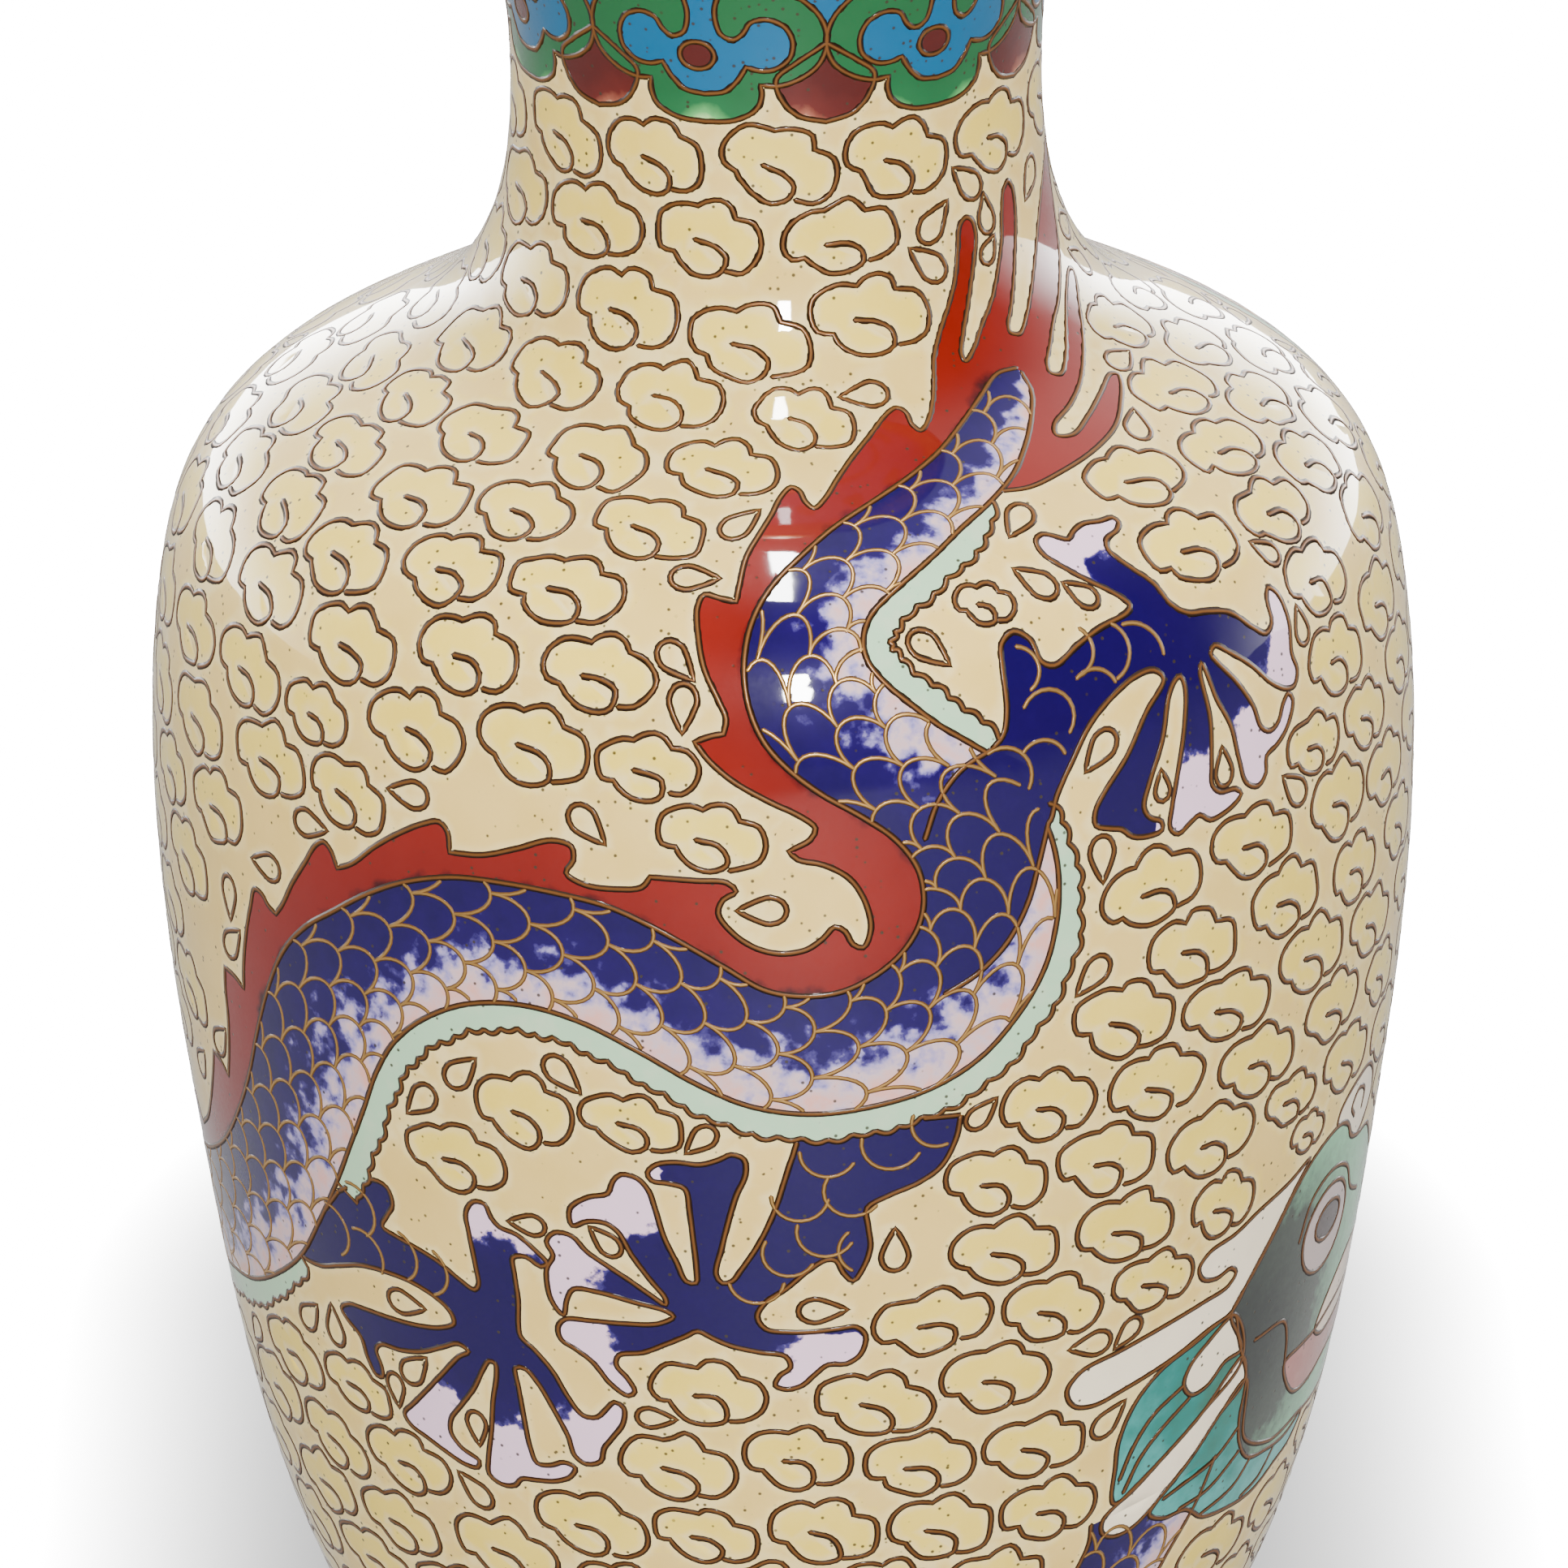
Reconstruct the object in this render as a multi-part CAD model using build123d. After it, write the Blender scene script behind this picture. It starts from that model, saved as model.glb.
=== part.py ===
"""A cloisonne vase, 204 mm tall: spun copper shells soldered together, brass rims, border wires and fired enamel.

The frame is +Z up with its origin at the centre of the foot, on the surface that the vase stands on.
Every layer is cut from solids of revolution of one profile, offset inwards by the depth of the layers
outside it, so that neighbouring layers share their faces exactly.
"""

import os

from build123d import *

# ---- driving dimensions, in millimetres -------------------------------------------------------

HEIGHT = 204.0  # from the standing face to the top of the mouth rim

# The outside of the enamel as (radius, height), from below the foot to above the mouth.
PROFILE = [
    (32.2, 0.0),
    (29.4, 8.0),
    (28.2, 17.0),
    (29.3, 26.0),
    (33.0, 36.5),
    (38.9, 49.0),
    (44.6, 67.3),
    (47.9, 86.3),
    (50.3, 105.3),
    (51.0, 120.0),
    (50.0, 134.5),
    (47.4, 143.3),
    (43.3, 148.2),
    (37.9, 151.6),
    (32.2, 154.5),
    (26.8, 157.9),
    (23.2, 163.2),
    (21.1, 175.0),
    (22.3, 188.5),
    (24.8, 196.5),
    (28.4, 203.0),
]
PROFILE_SAMPLES = 72  # points of each inner profile
TOUCHING = 1e-6  # two heights this close are the same

ENAMEL = 1.0  # thickness of the outer enamel, which is the height of the wires in it
COPPER = 0.8  # wall of the copper shells
LINING = 0.5  # thickness of the inner enamel, and of the sleeves at the two soldered joints
WIRE_PROUD = 0.06  # how far the polished border wires stand out of the enamel
WIRE_WIDTH = 0.5
SOLDER = 0.3  # height of the silver solder in the butt of each joint

FOOT_RIM_TOP = 3.0  # top of the brass foot rim
RIM_SEAT = 1.6  # how deep a copper edge sits in the groove of its rim
BASE_HEIGHT = 7.0  # underside of the copper base plate
BASE_ENAMEL = 0.6  # enamel under the base plate
FLOOR_ENAMEL = 0.5  # enamel on top of the base plate

FOOT_JOINT = 22.0  # where the foot meets the body
NECK_JOINT = 165.0  # where the body meets the neck
SLEEVE_UP = 4.0  # length of each sleeve above its joint
SLEEVE_DOWN = 4.0  # length of each sleeve below its joint

COLLAR_TOP = 193.0  # border wire above the collar of ruyi heads
MOUTH_RIM_BASE = 200.0  # underside of the brass mouth rim

MOUTH_RIM_OUTER = 28.6
MOUTH_RIM_INNER = 23.9
MOUTH_RIM_ROUND = 1.5
FOOT_RIM_OUTER = 32.4
FOOT_RIM_INNER = 27.6
FOOT_RIM_ROUND = 0.7

# Depths of the layers under the outside of the enamel.
COPPER_FACE = ENAMEL
LINING_FACE = ENAMEL + COPPER
INNER_FACE = ENAMEL + COPPER + LINING


# ---- the profile and its layers ---------------------------------------------------------------


def profile_at(depth):
    """The outer profile, moved inwards by depth along its own normals."""
    outer = Spline(*[(radius, 0, height) for radius, height in PROFILE])
    if depth == 0:
        return outer
    points = []
    for i in range(PROFILE_SAMPLES + 1):
        at = i / PROFILE_SAMPLES
        along = outer % at
        inwards = Vector(-along.Z, 0, along.X)
        points.append((outer @ at) + inwards * depth)
    return Spline(*points)


def solid_inside(depth):
    """The solid of revolution inside the profile at that depth."""
    side = profile_at(depth)
    low, high = side @ 0, side @ 1
    edges = [
        Line((0, 0, low.Z), low),
        side,
        Line(high, (0, 0, high.Z)),
        Line((0, 0, high.Z), (0, 0, low.Z)),
    ]
    return revolve(make_face(Curve() + edges), Axis.Z)


def slab(low, high):
    """All the space between two heights."""
    side = 2 * HEIGHT
    return Pos(0, 0, low) * Box(side, side, high - low, align=(Align.CENTER, Align.CENTER, Align.MIN))


INSIDE = {}


def inside(depth):
    """solid_inside, made once for each depth."""
    if depth not in INSIDE:
        INSIDE[depth] = solid_inside(depth)
    return INSIDE[depth]


def layer(outer_depth, inner_depth, low, high):
    """The shell between two depths and two heights."""
    return (inside(outer_depth) & slab(low, high)) - inside(inner_depth)


def plug(depth, low, high):
    """A disc that fills the vase at that depth, between two heights."""
    return inside(depth) & slab(low, high)


def ring(outer, inner, low, high, top_round, bottom_round):
    """A turned ring with rounded edges, before its groove is cut."""
    base = (Align.CENTER, Align.CENTER, Align.MIN)
    blank = Cylinder(outer, high - low, align=base) - Cylinder(inner, high - low, align=base)
    blank = Pos(0, 0, low) * blank
    for height, radius in ((high, top_round), (low, bottom_round)):
        rims = [
            edge
            for edge in blank.edges().filter_by(GeomType.CIRCLE)
            if abs(edge.center().Z - height) < TOUCHING
        ]
        blank = fillet(rims, radius)
    return blank


# ---- copper shells and rims -------------------------------------------------------------------


def base_plate():
    """Copper disc that closes the foot."""
    return plug(LINING_FACE, BASE_HEIGHT, BASE_HEIGHT + COPPER)


def foot_shell():
    """Waisted copper foot, with a sleeve at its top that goes up into the body."""
    wall = layer(COPPER_FACE, LINING_FACE, FOOT_RIM_TOP - RIM_SEAT, FOOT_JOINT)
    sleeve = layer(LINING_FACE, INNER_FACE, FOOT_JOINT - SLEEVE_DOWN, FOOT_JOINT + SLEEVE_UP)
    return wall + sleeve


def body_shell():
    """Hammered copper body, from the foot joint to the neck joint."""
    return layer(COPPER_FACE, LINING_FACE, FOOT_JOINT + SOLDER, NECK_JOINT)


def neck_shell():
    """Flared copper neck, with a sleeve at its bottom that goes down into the body."""
    wall = layer(COPPER_FACE, LINING_FACE, NECK_JOINT + SOLDER, MOUTH_RIM_BASE + RIM_SEAT)
    sleeve = layer(LINING_FACE, INNER_FACE, NECK_JOINT - SLEEVE_DOWN, NECK_JOINT + SLEEVE_UP)
    return wall + sleeve


def mouth_rim():
    """Turned brass lip, grooved underneath for the edge of the neck."""
    lip = ring(
        MOUTH_RIM_OUTER, MOUTH_RIM_INNER, MOUTH_RIM_BASE, HEIGHT, MOUTH_RIM_ROUND, FOOT_RIM_ROUND
    )
    groove = layer(COPPER_FACE, LINING_FACE, MOUTH_RIM_BASE, MOUTH_RIM_BASE + RIM_SEAT)
    return lip - groove


def foot_rim():
    """Turned brass standing ring, grooved on top for the edge of the foot."""
    standing = ring(
        FOOT_RIM_OUTER, FOOT_RIM_INNER, 0, FOOT_RIM_TOP, FOOT_RIM_ROUND, FOOT_RIM_ROUND
    )
    groove = layer(COPPER_FACE, LINING_FACE, FOOT_RIM_TOP - RIM_SEAT, FOOT_RIM_TOP)
    return standing - groove


def solder(joint):
    """Silver solder in the butt of a joint."""
    return layer(COPPER_FACE, LINING_FACE, joint, joint + SOLDER)


# ---- border wires and enamel ------------------------------------------------------------------


def border_wire(low):
    """A flat wire bent into a ring and stood on the copper, as high as the enamel beside it."""
    return layer(-WIRE_PROUD, COPPER_FACE, low, low + WIRE_WIDTH)


def outer_enamel(low, high):
    """Enamel on the outside of the copper."""
    return layer(0, COPPER_FACE, low, high)


def inner_enamel(low, high):
    """Counter-enamel on the inside of the copper."""
    return layer(LINING_FACE, INNER_FACE, low, high)


FLOOR = BASE_HEIGHT + COPPER
FOOT_WIRE = FOOT_RIM_TOP
WAIST_WIRE = FOOT_JOINT - WIRE_WIDTH / 2
COLLAR_WIRE = COLLAR_TOP - WIRE_WIDTH / 2
MOUTH_WIRE = MOUTH_RIM_BASE - WIRE_WIDTH

PARTS = {
    "base_plate": base_plate(),
    "foot_shell": foot_shell(),
    "body_shell": body_shell(),
    "neck_shell": neck_shell(),
    "mouth_rim": mouth_rim(),
    "foot_rim": foot_rim(),
    "foot_joint_solder": solder(FOOT_JOINT),
    "neck_joint_solder": solder(NECK_JOINT),
    "foot_border_wire": border_wire(FOOT_WIRE),
    "waist_border_wire": border_wire(WAIST_WIRE),
    "collar_border_wire": border_wire(COLLAR_WIRE),
    "mouth_border_wire": border_wire(MOUTH_WIRE),
    "foot_enamel": outer_enamel(FOOT_WIRE + WIRE_WIDTH, WAIST_WIRE),
    "ground_enamel": outer_enamel(WAIST_WIRE + WIRE_WIDTH, COLLAR_WIRE),
    "mouth_enamel": outer_enamel(COLLAR_WIRE + WIRE_WIDTH, MOUTH_WIRE),
    "foot_lining": inner_enamel(FLOOR + FLOOR_ENAMEL, FOOT_JOINT - SLEEVE_DOWN),
    "body_lining": inner_enamel(FOOT_JOINT + SLEEVE_UP, NECK_JOINT - SLEEVE_DOWN),
    "neck_lining": inner_enamel(NECK_JOINT + SLEEVE_UP, MOUTH_RIM_BASE),
    "floor_enamel": plug(LINING_FACE, FLOOR, FLOOR + FLOOR_ENAMEL),
    "base_enamel": plug(LINING_FACE, BASE_HEIGHT - BASE_ENAMEL, BASE_HEIGHT),
}

os.makedirs("parts", exist_ok=True)
for name, solid in PARTS.items():
    export_step(solid, os.path.join("parts", name + ".step"))
    print(name, len(solid.solids()), round(solid.volume, 1))
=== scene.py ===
"""A cloisonne vase: its wired and fired enamel picture, its turned brass rims and its counter-enamel."""

import logging
import math
from collections.abc import Callable, Sequence
from dataclasses import dataclass
from enum import Enum

import bpy
import numpy as np
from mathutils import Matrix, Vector
from mathutils.geometry import delaunay_2d_cdt
from mathutils.kdtree import KDTree


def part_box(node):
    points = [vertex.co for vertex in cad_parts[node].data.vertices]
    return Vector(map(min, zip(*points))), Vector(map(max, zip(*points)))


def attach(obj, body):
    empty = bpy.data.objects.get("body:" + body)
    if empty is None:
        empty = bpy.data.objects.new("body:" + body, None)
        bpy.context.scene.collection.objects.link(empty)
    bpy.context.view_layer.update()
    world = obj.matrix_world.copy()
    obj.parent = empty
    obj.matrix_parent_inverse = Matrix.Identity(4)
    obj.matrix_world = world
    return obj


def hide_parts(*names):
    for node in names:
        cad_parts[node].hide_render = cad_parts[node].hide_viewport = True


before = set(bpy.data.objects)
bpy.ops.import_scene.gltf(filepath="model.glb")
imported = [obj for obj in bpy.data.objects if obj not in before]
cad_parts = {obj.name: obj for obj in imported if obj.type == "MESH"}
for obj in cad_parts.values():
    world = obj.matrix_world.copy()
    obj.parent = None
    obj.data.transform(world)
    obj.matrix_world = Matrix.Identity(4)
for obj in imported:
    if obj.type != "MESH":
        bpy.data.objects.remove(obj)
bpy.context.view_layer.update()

LOG = logging.getLogger("vase")

MM = 0.001  # metres in a millimetre
SEED = 7
Point = tuple[float, float]
Stroke = tuple[Point, ...]
Colour = tuple[float, float, float, float]


# ---- small helpers ----------------------------------------------------------------------------


def paint(red: int, green: int, blue: int) -> Colour:
    """A colour as a shader reads it, from its display values of 0 to 255."""
    parts = [c / 255 for c in (red, green, blue)]
    linear = [c / 12.92 if c <= 0.04045 else ((c + 0.055) / 1.055) ** 2.4 for c in parts]
    return (linear[0], linear[1], linear[2], 1.0)


def flow(points: Sequence[Point], closed: bool = False, step: float = 0.5) -> np.ndarray:
    """Draws a smooth line through points.

    Args:
        points: Where the line passes, in millimetres.
        closed: Whether the line runs back to its first point.
        step: Distance between the points of the result.

    Returns:
        The line's points, one row each, without a repeat of the first one.
    """
    knots = np.asarray(points, float)
    if closed:
        before, after = knots[-1], knots[0]
    else:
        before, after = 2 * knots[0] - knots[1], 2 * knots[-1] - knots[-2]
    if closed:
        ring = np.vstack([before, knots, knots[:1], knots[1:2]])
    else:
        ring = np.vstack([before, knots, after])
    gaps = np.maximum(np.linalg.norm(np.diff(ring, axis=0), axis=1), 1e-6) ** 0.5
    line = []
    for i in range(1, len(ring) - 2):
        slopes = []
        for k in (i, i + 1):
            back = (ring[k] - ring[k - 1]) / gaps[k - 1]
            ahead = (ring[k + 1] - ring[k]) / gaps[k]
            across = (ring[k + 1] - ring[k - 1]) / (gaps[k - 1] + gaps[k])
            slopes.append((back + ahead - across) * gaps[i])
        count = max(1, math.ceil(np.linalg.norm(ring[i + 1] - ring[i]) / step))
        t = (np.arange(count) / count)[:, None]
        line.append(
            (2 * t**3 - 3 * t**2 + 1) * ring[i]
            + (t**3 - 2 * t**2 + t) * slopes[0]
            + (3 * t**2 - 2 * t**3) * ring[i + 1]
            + (t**3 - t**2) * slopes[1]
        )
    if not closed:
        line.append(knots[-1:])
    return np.vstack(line)


def chain(strokes: Sequence[Stroke], step: float = 0.5) -> np.ndarray:
    """Joins smooth strokes at corners. Each stroke starts where the one before it ended."""
    parts = []
    last: tuple[Point, ...] = ()
    for stroke in strokes:
        line = flow(last + tuple(stroke), step=step)
        parts.append(line if not parts else line[1:])
        last = (tuple(stroke[-1]),)
    return np.vstack(parts)


def ellipse(centre: Point, radii: Point, turn: float = 0.0, count: int = 28) -> np.ndarray:
    """Points round an ellipse whose first radius is turned by so many degrees."""
    angle = np.arange(count) * 2 * math.pi / count
    local = np.stack([radii[0] * np.cos(angle), radii[1] * np.sin(angle)], 1)
    return turned(local, turn) + np.asarray(centre)


def turned(points: np.ndarray, degrees: float) -> np.ndarray:
    """Points turned anticlockwise about the origin."""
    c, s = math.cos(math.radians(degrees)), math.sin(math.radians(degrees))
    return points @ np.array([[c, s], [-s, c]])


def encloses(outline: np.ndarray, points: np.ndarray) -> np.ndarray:
    """Tells which points lie inside a closed outline, one truth value each."""
    inside = np.zeros(len(points), bool)
    low, high = outline.min(0), outline.max(0)
    near = np.all((points >= low) & (points <= high), axis=1)
    if not near.any():
        return inside
    x, y = points[near, 0], points[near, 1]
    odd = np.zeros(len(x), bool)
    for (x0, y0), (x1, y1) in zip(outline, np.roll(outline, -1, axis=0)):
        if y0 != y1:
            crosses = (y0 > y) != (y1 > y)
            odd ^= crosses & (x < (x1 - x0) * (y - y0) / (y1 - y0) + x0)
    inside[near] = odd
    return inside


# ---- the surface and its paper pattern --------------------------------------------------------


class VaseSurface:
    """The outside of the enamel, and the flat paper pattern that wraps round it.

    The pattern is as wide as the belly is round. Both its directions shrink alike where the vase is
    narrower, so a shape keeps its angles. Its zero is at the front, at the height of the belly.
    """

    PATTERN_RADIUS = 51.0
    ZERO_HEIGHT = 121.0
    NODES = ("foot_enamel", "ground_enamel", "mouth_enamel")

    def __init__(self) -> None:
        """Reads the profile from the outward faces of the CAD enamel."""
        found = []
        for node in self.NODES:
            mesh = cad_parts[node].data
            co = np.empty(len(mesh.vertices) * 3)
            mesh.vertices.foreach_get("co", co)
            co = co.reshape(-1, 3) / MM
            tri = np.empty(len(mesh.polygons) * 3, int)
            mesh.polygons.foreach_get("vertices", tri)
            tri = tri.reshape(-1, 3)
            a, b, c = co[tri[:, 0]], co[tri[:, 1]], co[tri[:, 2]]
            normal = np.cross(b - a, c - a)
            middle = (a + b + c) / 3
            outward = normal[:, 0] * middle[:, 0] + normal[:, 1] * middle[:, 1]
            size = np.linalg.norm(normal, axis=1) * np.hypot(middle[:, 0], middle[:, 1])
            used = np.unique(tri[outward > 0.2 * size])
            found.append(np.stack([co[used, 2], np.hypot(co[used, 0], co[used, 1])], 1))
        rows = np.vstack(found)
        rows = rows[np.argsort(rows[:, 0])]
        self.low, self.high = rows[0, 0], rows[-1, 0]
        self.heights = np.arange(self.low, self.high + 0.2, 0.2)
        radii = np.interp(self.heights, rows[:, 0], rows[:, 1])
        soft = np.array([1, 4, 6, 4, 1]) / 16
        padded = np.pad(radii, 2, mode="reflect", reflect_type="odd")
        self.radii = np.convolve(padded, soft, mode="valid")
        self.lean = np.arctan(np.gradient(self.radii, self.heights))
        length = np.hypot(np.diff(self.radii), np.diff(self.heights))
        grow = self.PATTERN_RADIUS / ((self.radii[1:] + self.radii[:-1]) / 2)
        ups = np.concatenate([[0], np.cumsum(length * grow)])
        self.ups = ups - np.interp(self.ZERO_HEIGHT, self.heights, ups)
        self.half_turn = math.pi * self.PATTERN_RADIUS

    def up_of(self, height: float | np.ndarray) -> np.ndarray:
        """How far up the pattern a height is."""
        return np.interp(height, self.heights, self.ups)

    def radius_at(self, up: float | np.ndarray) -> np.ndarray:
        """The vase's radius at a place up the pattern, in millimetres."""
        return np.interp(up, self.ups, self.radii)

    def shrink(self, up: float | np.ndarray) -> np.ndarray:
        """Millimetres on the vase for each millimetre of the pattern."""
        return self.radius_at(up) / self.PATTERN_RADIUS

    def wrap(self, flat: np.ndarray, lift: float | np.ndarray = 0.0) -> np.ndarray:
        """Lays pattern points on the vase.

        Args:
            flat: Pattern points, one row each, in millimetres.
            lift: How far each stands out of the enamel, in millimetres.

        Returns:
            Points in metres, in the frame of the vase.
        """
        angle = flat[:, 0] / self.PATTERN_RADIUS
        lean = np.interp(flat[:, 1], self.ups, self.lean)
        radius = self.radius_at(flat[:, 1]) + lift * np.cos(lean)
        height = np.interp(flat[:, 1], self.ups, self.heights) - lift * np.sin(lean)
        return np.stack([radius * np.sin(angle), -radius * np.cos(angle), height], 1) * MM

    def place(self, azimuth: float, offsets: np.ndarray) -> np.ndarray:
        """Pattern points of a shape given in real millimetres sideways and in heights.

        Args:
            azimuth: Where the middle of the shape is, in degrees from the front.
            offsets: Real sideways distance and height of each point.
        """
        up = self.up_of(offsets[:, 1])
        across = math.radians(azimuth) * self.PATTERN_RADIUS + offsets[:, 0] / self.shrink(up)
        return np.stack([across, up], 1)


# ---- shader building --------------------------------------------------------------------------


class Reading:
    """One number of a material. Python's operators on it add Math nodes."""

    def __init__(self, recipe: "Recipe", socket: bpy.types.NodeSocket) -> None:
        """Wraps a socket of that recipe."""
        self.recipe = recipe
        self.socket = socket

    def _math(self, operation: str, *values: "Reading | float") -> "Reading":
        """A Math node on these values."""
        node = self.recipe.node("ShaderNodeMath", {"operation": operation}, dict(enumerate(values)))
        return Reading(self.recipe, node.outputs[0])

    def __add__(self, other: "Reading | float") -> "Reading":
        """self + other"""
        return self._math("ADD", self, other)

    def __radd__(self, other: float) -> "Reading":
        """other + self"""
        return self._math("ADD", other, self)

    def __sub__(self, other: "Reading | float") -> "Reading":
        """self - other"""
        return self._math("SUBTRACT", self, other)

    def __rsub__(self, other: float) -> "Reading":
        """other - self"""
        return self._math("SUBTRACT", other, self)

    def __mul__(self, other: "Reading | float") -> "Reading":
        """self * other"""
        return self._math("MULTIPLY", self, other)

    def __rmul__(self, other: float) -> "Reading":
        """other * self"""
        return self._math("MULTIPLY", other, self)

    def __pow__(self, other: float) -> "Reading":
        """self ** other"""
        return self._math("POWER", self, other)

    def rise(self, low: float, high: float) -> "Reading":
        """A smooth step from 0 at low to 1 at high, or the other way where low is the larger."""
        flip = low > high
        limits = {"From Min": min(low, high), "From Max": max(low, high)}
        ends = {"To Min": float(flip), "To Max": float(not flip)}
        settings = {"interpolation_type": "SMOOTHSTEP"}
        node = self.recipe.node("ShaderNodeMapRange", settings, {"Value": self} | limits | ends)
        return Reading(self.recipe, node.outputs[0])


class Recipe:
    """Builds one material, node by node."""

    def __init__(self, name: str) -> None:
        """Starts an empty material with one Principled shader."""
        self.material = bpy.data.materials.new(name)
        self.material.use_nodes = True
        self.tree = self.material.node_tree
        self.tree.nodes.clear()
        self.shader = self.node("ShaderNodeBsdfPrincipled", {}, {})
        self.node("ShaderNodeOutputMaterial", {}, {"Surface": self.shader.outputs[0]})
        self.place = self.node("ShaderNodeTexCoord", {}, {}).outputs["Object"]

    def node(self, kind: str, settings: dict, inputs: dict) -> bpy.types.Node:
        """Adds a node.

        Args:
            kind: The node's type.
            settings: Its properties. The stops of a colour ramp are given as "stops".
            inputs: Values or links of its sockets, by name or number.

        Returns:
            The new node.
        """
        node = self.tree.nodes.new(kind)
        for name, value in settings.items():
            if name == "stops":
                ramp = node.color_ramp
                ramp.elements[0].position, ramp.elements[0].color = value[0]
                ramp.elements[1].position, ramp.elements[1].color = value[-1]
                for position, colour in value[1:-1]:
                    ramp.elements.new(position).color = colour
            else:
                setattr(node, name, value)
        for name, value in inputs.items():
            source = value.socket if isinstance(value, Reading) else value
            if isinstance(source, bpy.types.NodeSocket):
                self.tree.links.new(source, node.inputs[name])
            else:
                node.inputs[name].default_value = source
        return node

    def noise(self, size: float, detail: float = 2.0, stretch: tuple | None = None) -> Reading:
        """Soft noise of about 0 to 1 in the vase's own space, with features of a size in millimetres."""
        where = self.place
        if stretch:
            mapped = self.node("ShaderNodeMapping", {}, {"Vector": where, "Scale": stretch})
            where = mapped.outputs[0]
        node = self.node(
            "ShaderNodeTexNoise", {}, {"Vector": where, "Scale": 1 / (size * MM), "Detail": detail}
        )
        return Reading(self, node.outputs[0])

    def spots(self, size: float, chosen: float, reach: float) -> Reading:
        """Scattered round spots, 1 inside them.

        Args:
            size: Spacing of the cells that may hold a spot, in millimetres.
            chosen: Share of the cells without a spot, 0 to 1.
            reach: Radius of a spot as a share of the spacing.
        """
        cells = self.node(
            "ShaderNodeTexVoronoi", {}, {"Vector": self.place, "Scale": 1 / (size * MM)}
        )
        near = Reading(self, cells.outputs["Distance"]).rise(reach, reach * 0.5)
        split = self.node("ShaderNodeSeparateColor", {}, {0: cells.outputs["Color"]})
        return near * Reading(self, split.outputs[0]).rise(chosen, chosen + 0.02)

    def kept(self, name: str) -> Reading:
        """A value that the mesh keeps at its points."""
        settings = {"attribute_name": name}
        return Reading(self, self.node("ShaderNodeAttribute", settings, {}).outputs["Fac"])

    def mix(self, share: "Reading | float", first: object, second: object) -> bpy.types.NodeSocket:
        """A colour between two others."""
        node = self.node(
            "ShaderNodeMix", {"data_type": "RGBA"}, {0: share, 6: first, 7: second}
        )
        return node.outputs[2]

    def ramp(self, value: Reading, stops: Sequence[tuple[float, Colour]]) -> bpy.types.NodeSocket:
        """A colour read off a row of stops."""
        return self.node("ShaderNodeValToRGB", {"stops": list(stops)}, {0: value}).outputs[0]

    def bump(self, height: Reading, depth: float) -> None:
        """Raises the surface by height times depth, in millimetres."""
        node = self.node("ShaderNodeBump", {}, {"Height": height, "Distance": depth * MM})
        self.tree.links.new(node.outputs[0], self.shader.inputs["Normal"])

    def finish(self, **values: object) -> bpy.types.Material:
        """Sets the shader's sockets, named with underscores for spaces, and returns the material."""
        for name, value in values.items():
            wanted = name.replace("_", " ").lower()
            socket = next(s for s in self.shader.inputs if s.name.lower() == wanted)
            source = value.socket if isinstance(value, Reading) else value
            if isinstance(source, bpy.types.NodeSocket):
                self.tree.links.new(source, socket)
            else:
                socket.default_value = source
        return self.material


# ---- finishes ---------------------------------------------------------------------------------

PIT_COLOUR = paint(52, 44, 30)


@dataclass(frozen=True)
class Glaze:
    """Fired and polished enamel.

    The mesh keeps two values at its points: shade, which runs from 0 to 1 across the cell as its
    stops are read, and rim, the distance to the nearest wire in millimetres.
    """

    name: str
    stops: tuple[tuple[float, Colour], ...]
    edge: Colour | None = None
    edge_reach: float = 1.2
    mottle: float = 0.0
    mottle_size: float = 1.4
    cloudy: float = 0.12
    pits: float = 0.88
    polish: float = 0.16

    def material(self) -> bpy.types.Material:
        """Mixes the enamel."""
        recipe = Recipe(self.name)
        shade = recipe.kept("shade")
        if self.mottle:
            coarse = recipe.noise(self.mottle_size, 5.0)
            shade = shade + (coarse - 0.5) * self.mottle
        colour = recipe.ramp(shade, self.stops)
        if self.edge:
            wander = recipe.noise(1.6, 2.0)
            rim = recipe.kept("rim") + (wander - 0.5) * 0.7
            colour = recipe.mix(rim.rise(self.edge_reach, 0.1), colour, self.edge)
        veil = recipe.noise(5.0, 3.0).rise(0.3, 0.75)
        grain = recipe.noise(0.35, 2.0)
        dark = recipe.node(
            "ShaderNodeHueSaturation", {}, {"Value": 0.86, "Saturation": 1.08, "Color": colour}
        ).outputs[0]
        colour = recipe.mix(veil * self.cloudy * 2 + grain * self.cloudy, colour, dark)
        pit = recipe.spots(0.62, self.pits, 0.3)
        colour = recipe.mix(pit * 0.9, colour, PIT_COLOUR)
        ripple = recipe.noise(3.2, 1.0) * 0.6 + recipe.noise(0.9, 1.0) * 0.12
        recipe.bump(ripple - pit * 0.5, 0.03)
        return recipe.finish(
            base_color=colour,
            roughness=0.3 + grain * self.polish,
            ior=1.5,
            specular_ior_level=0.06,
            coat_weight=1.0,
            coat_roughness=0.035,
            coat_ior=1.5,
        )


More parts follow.
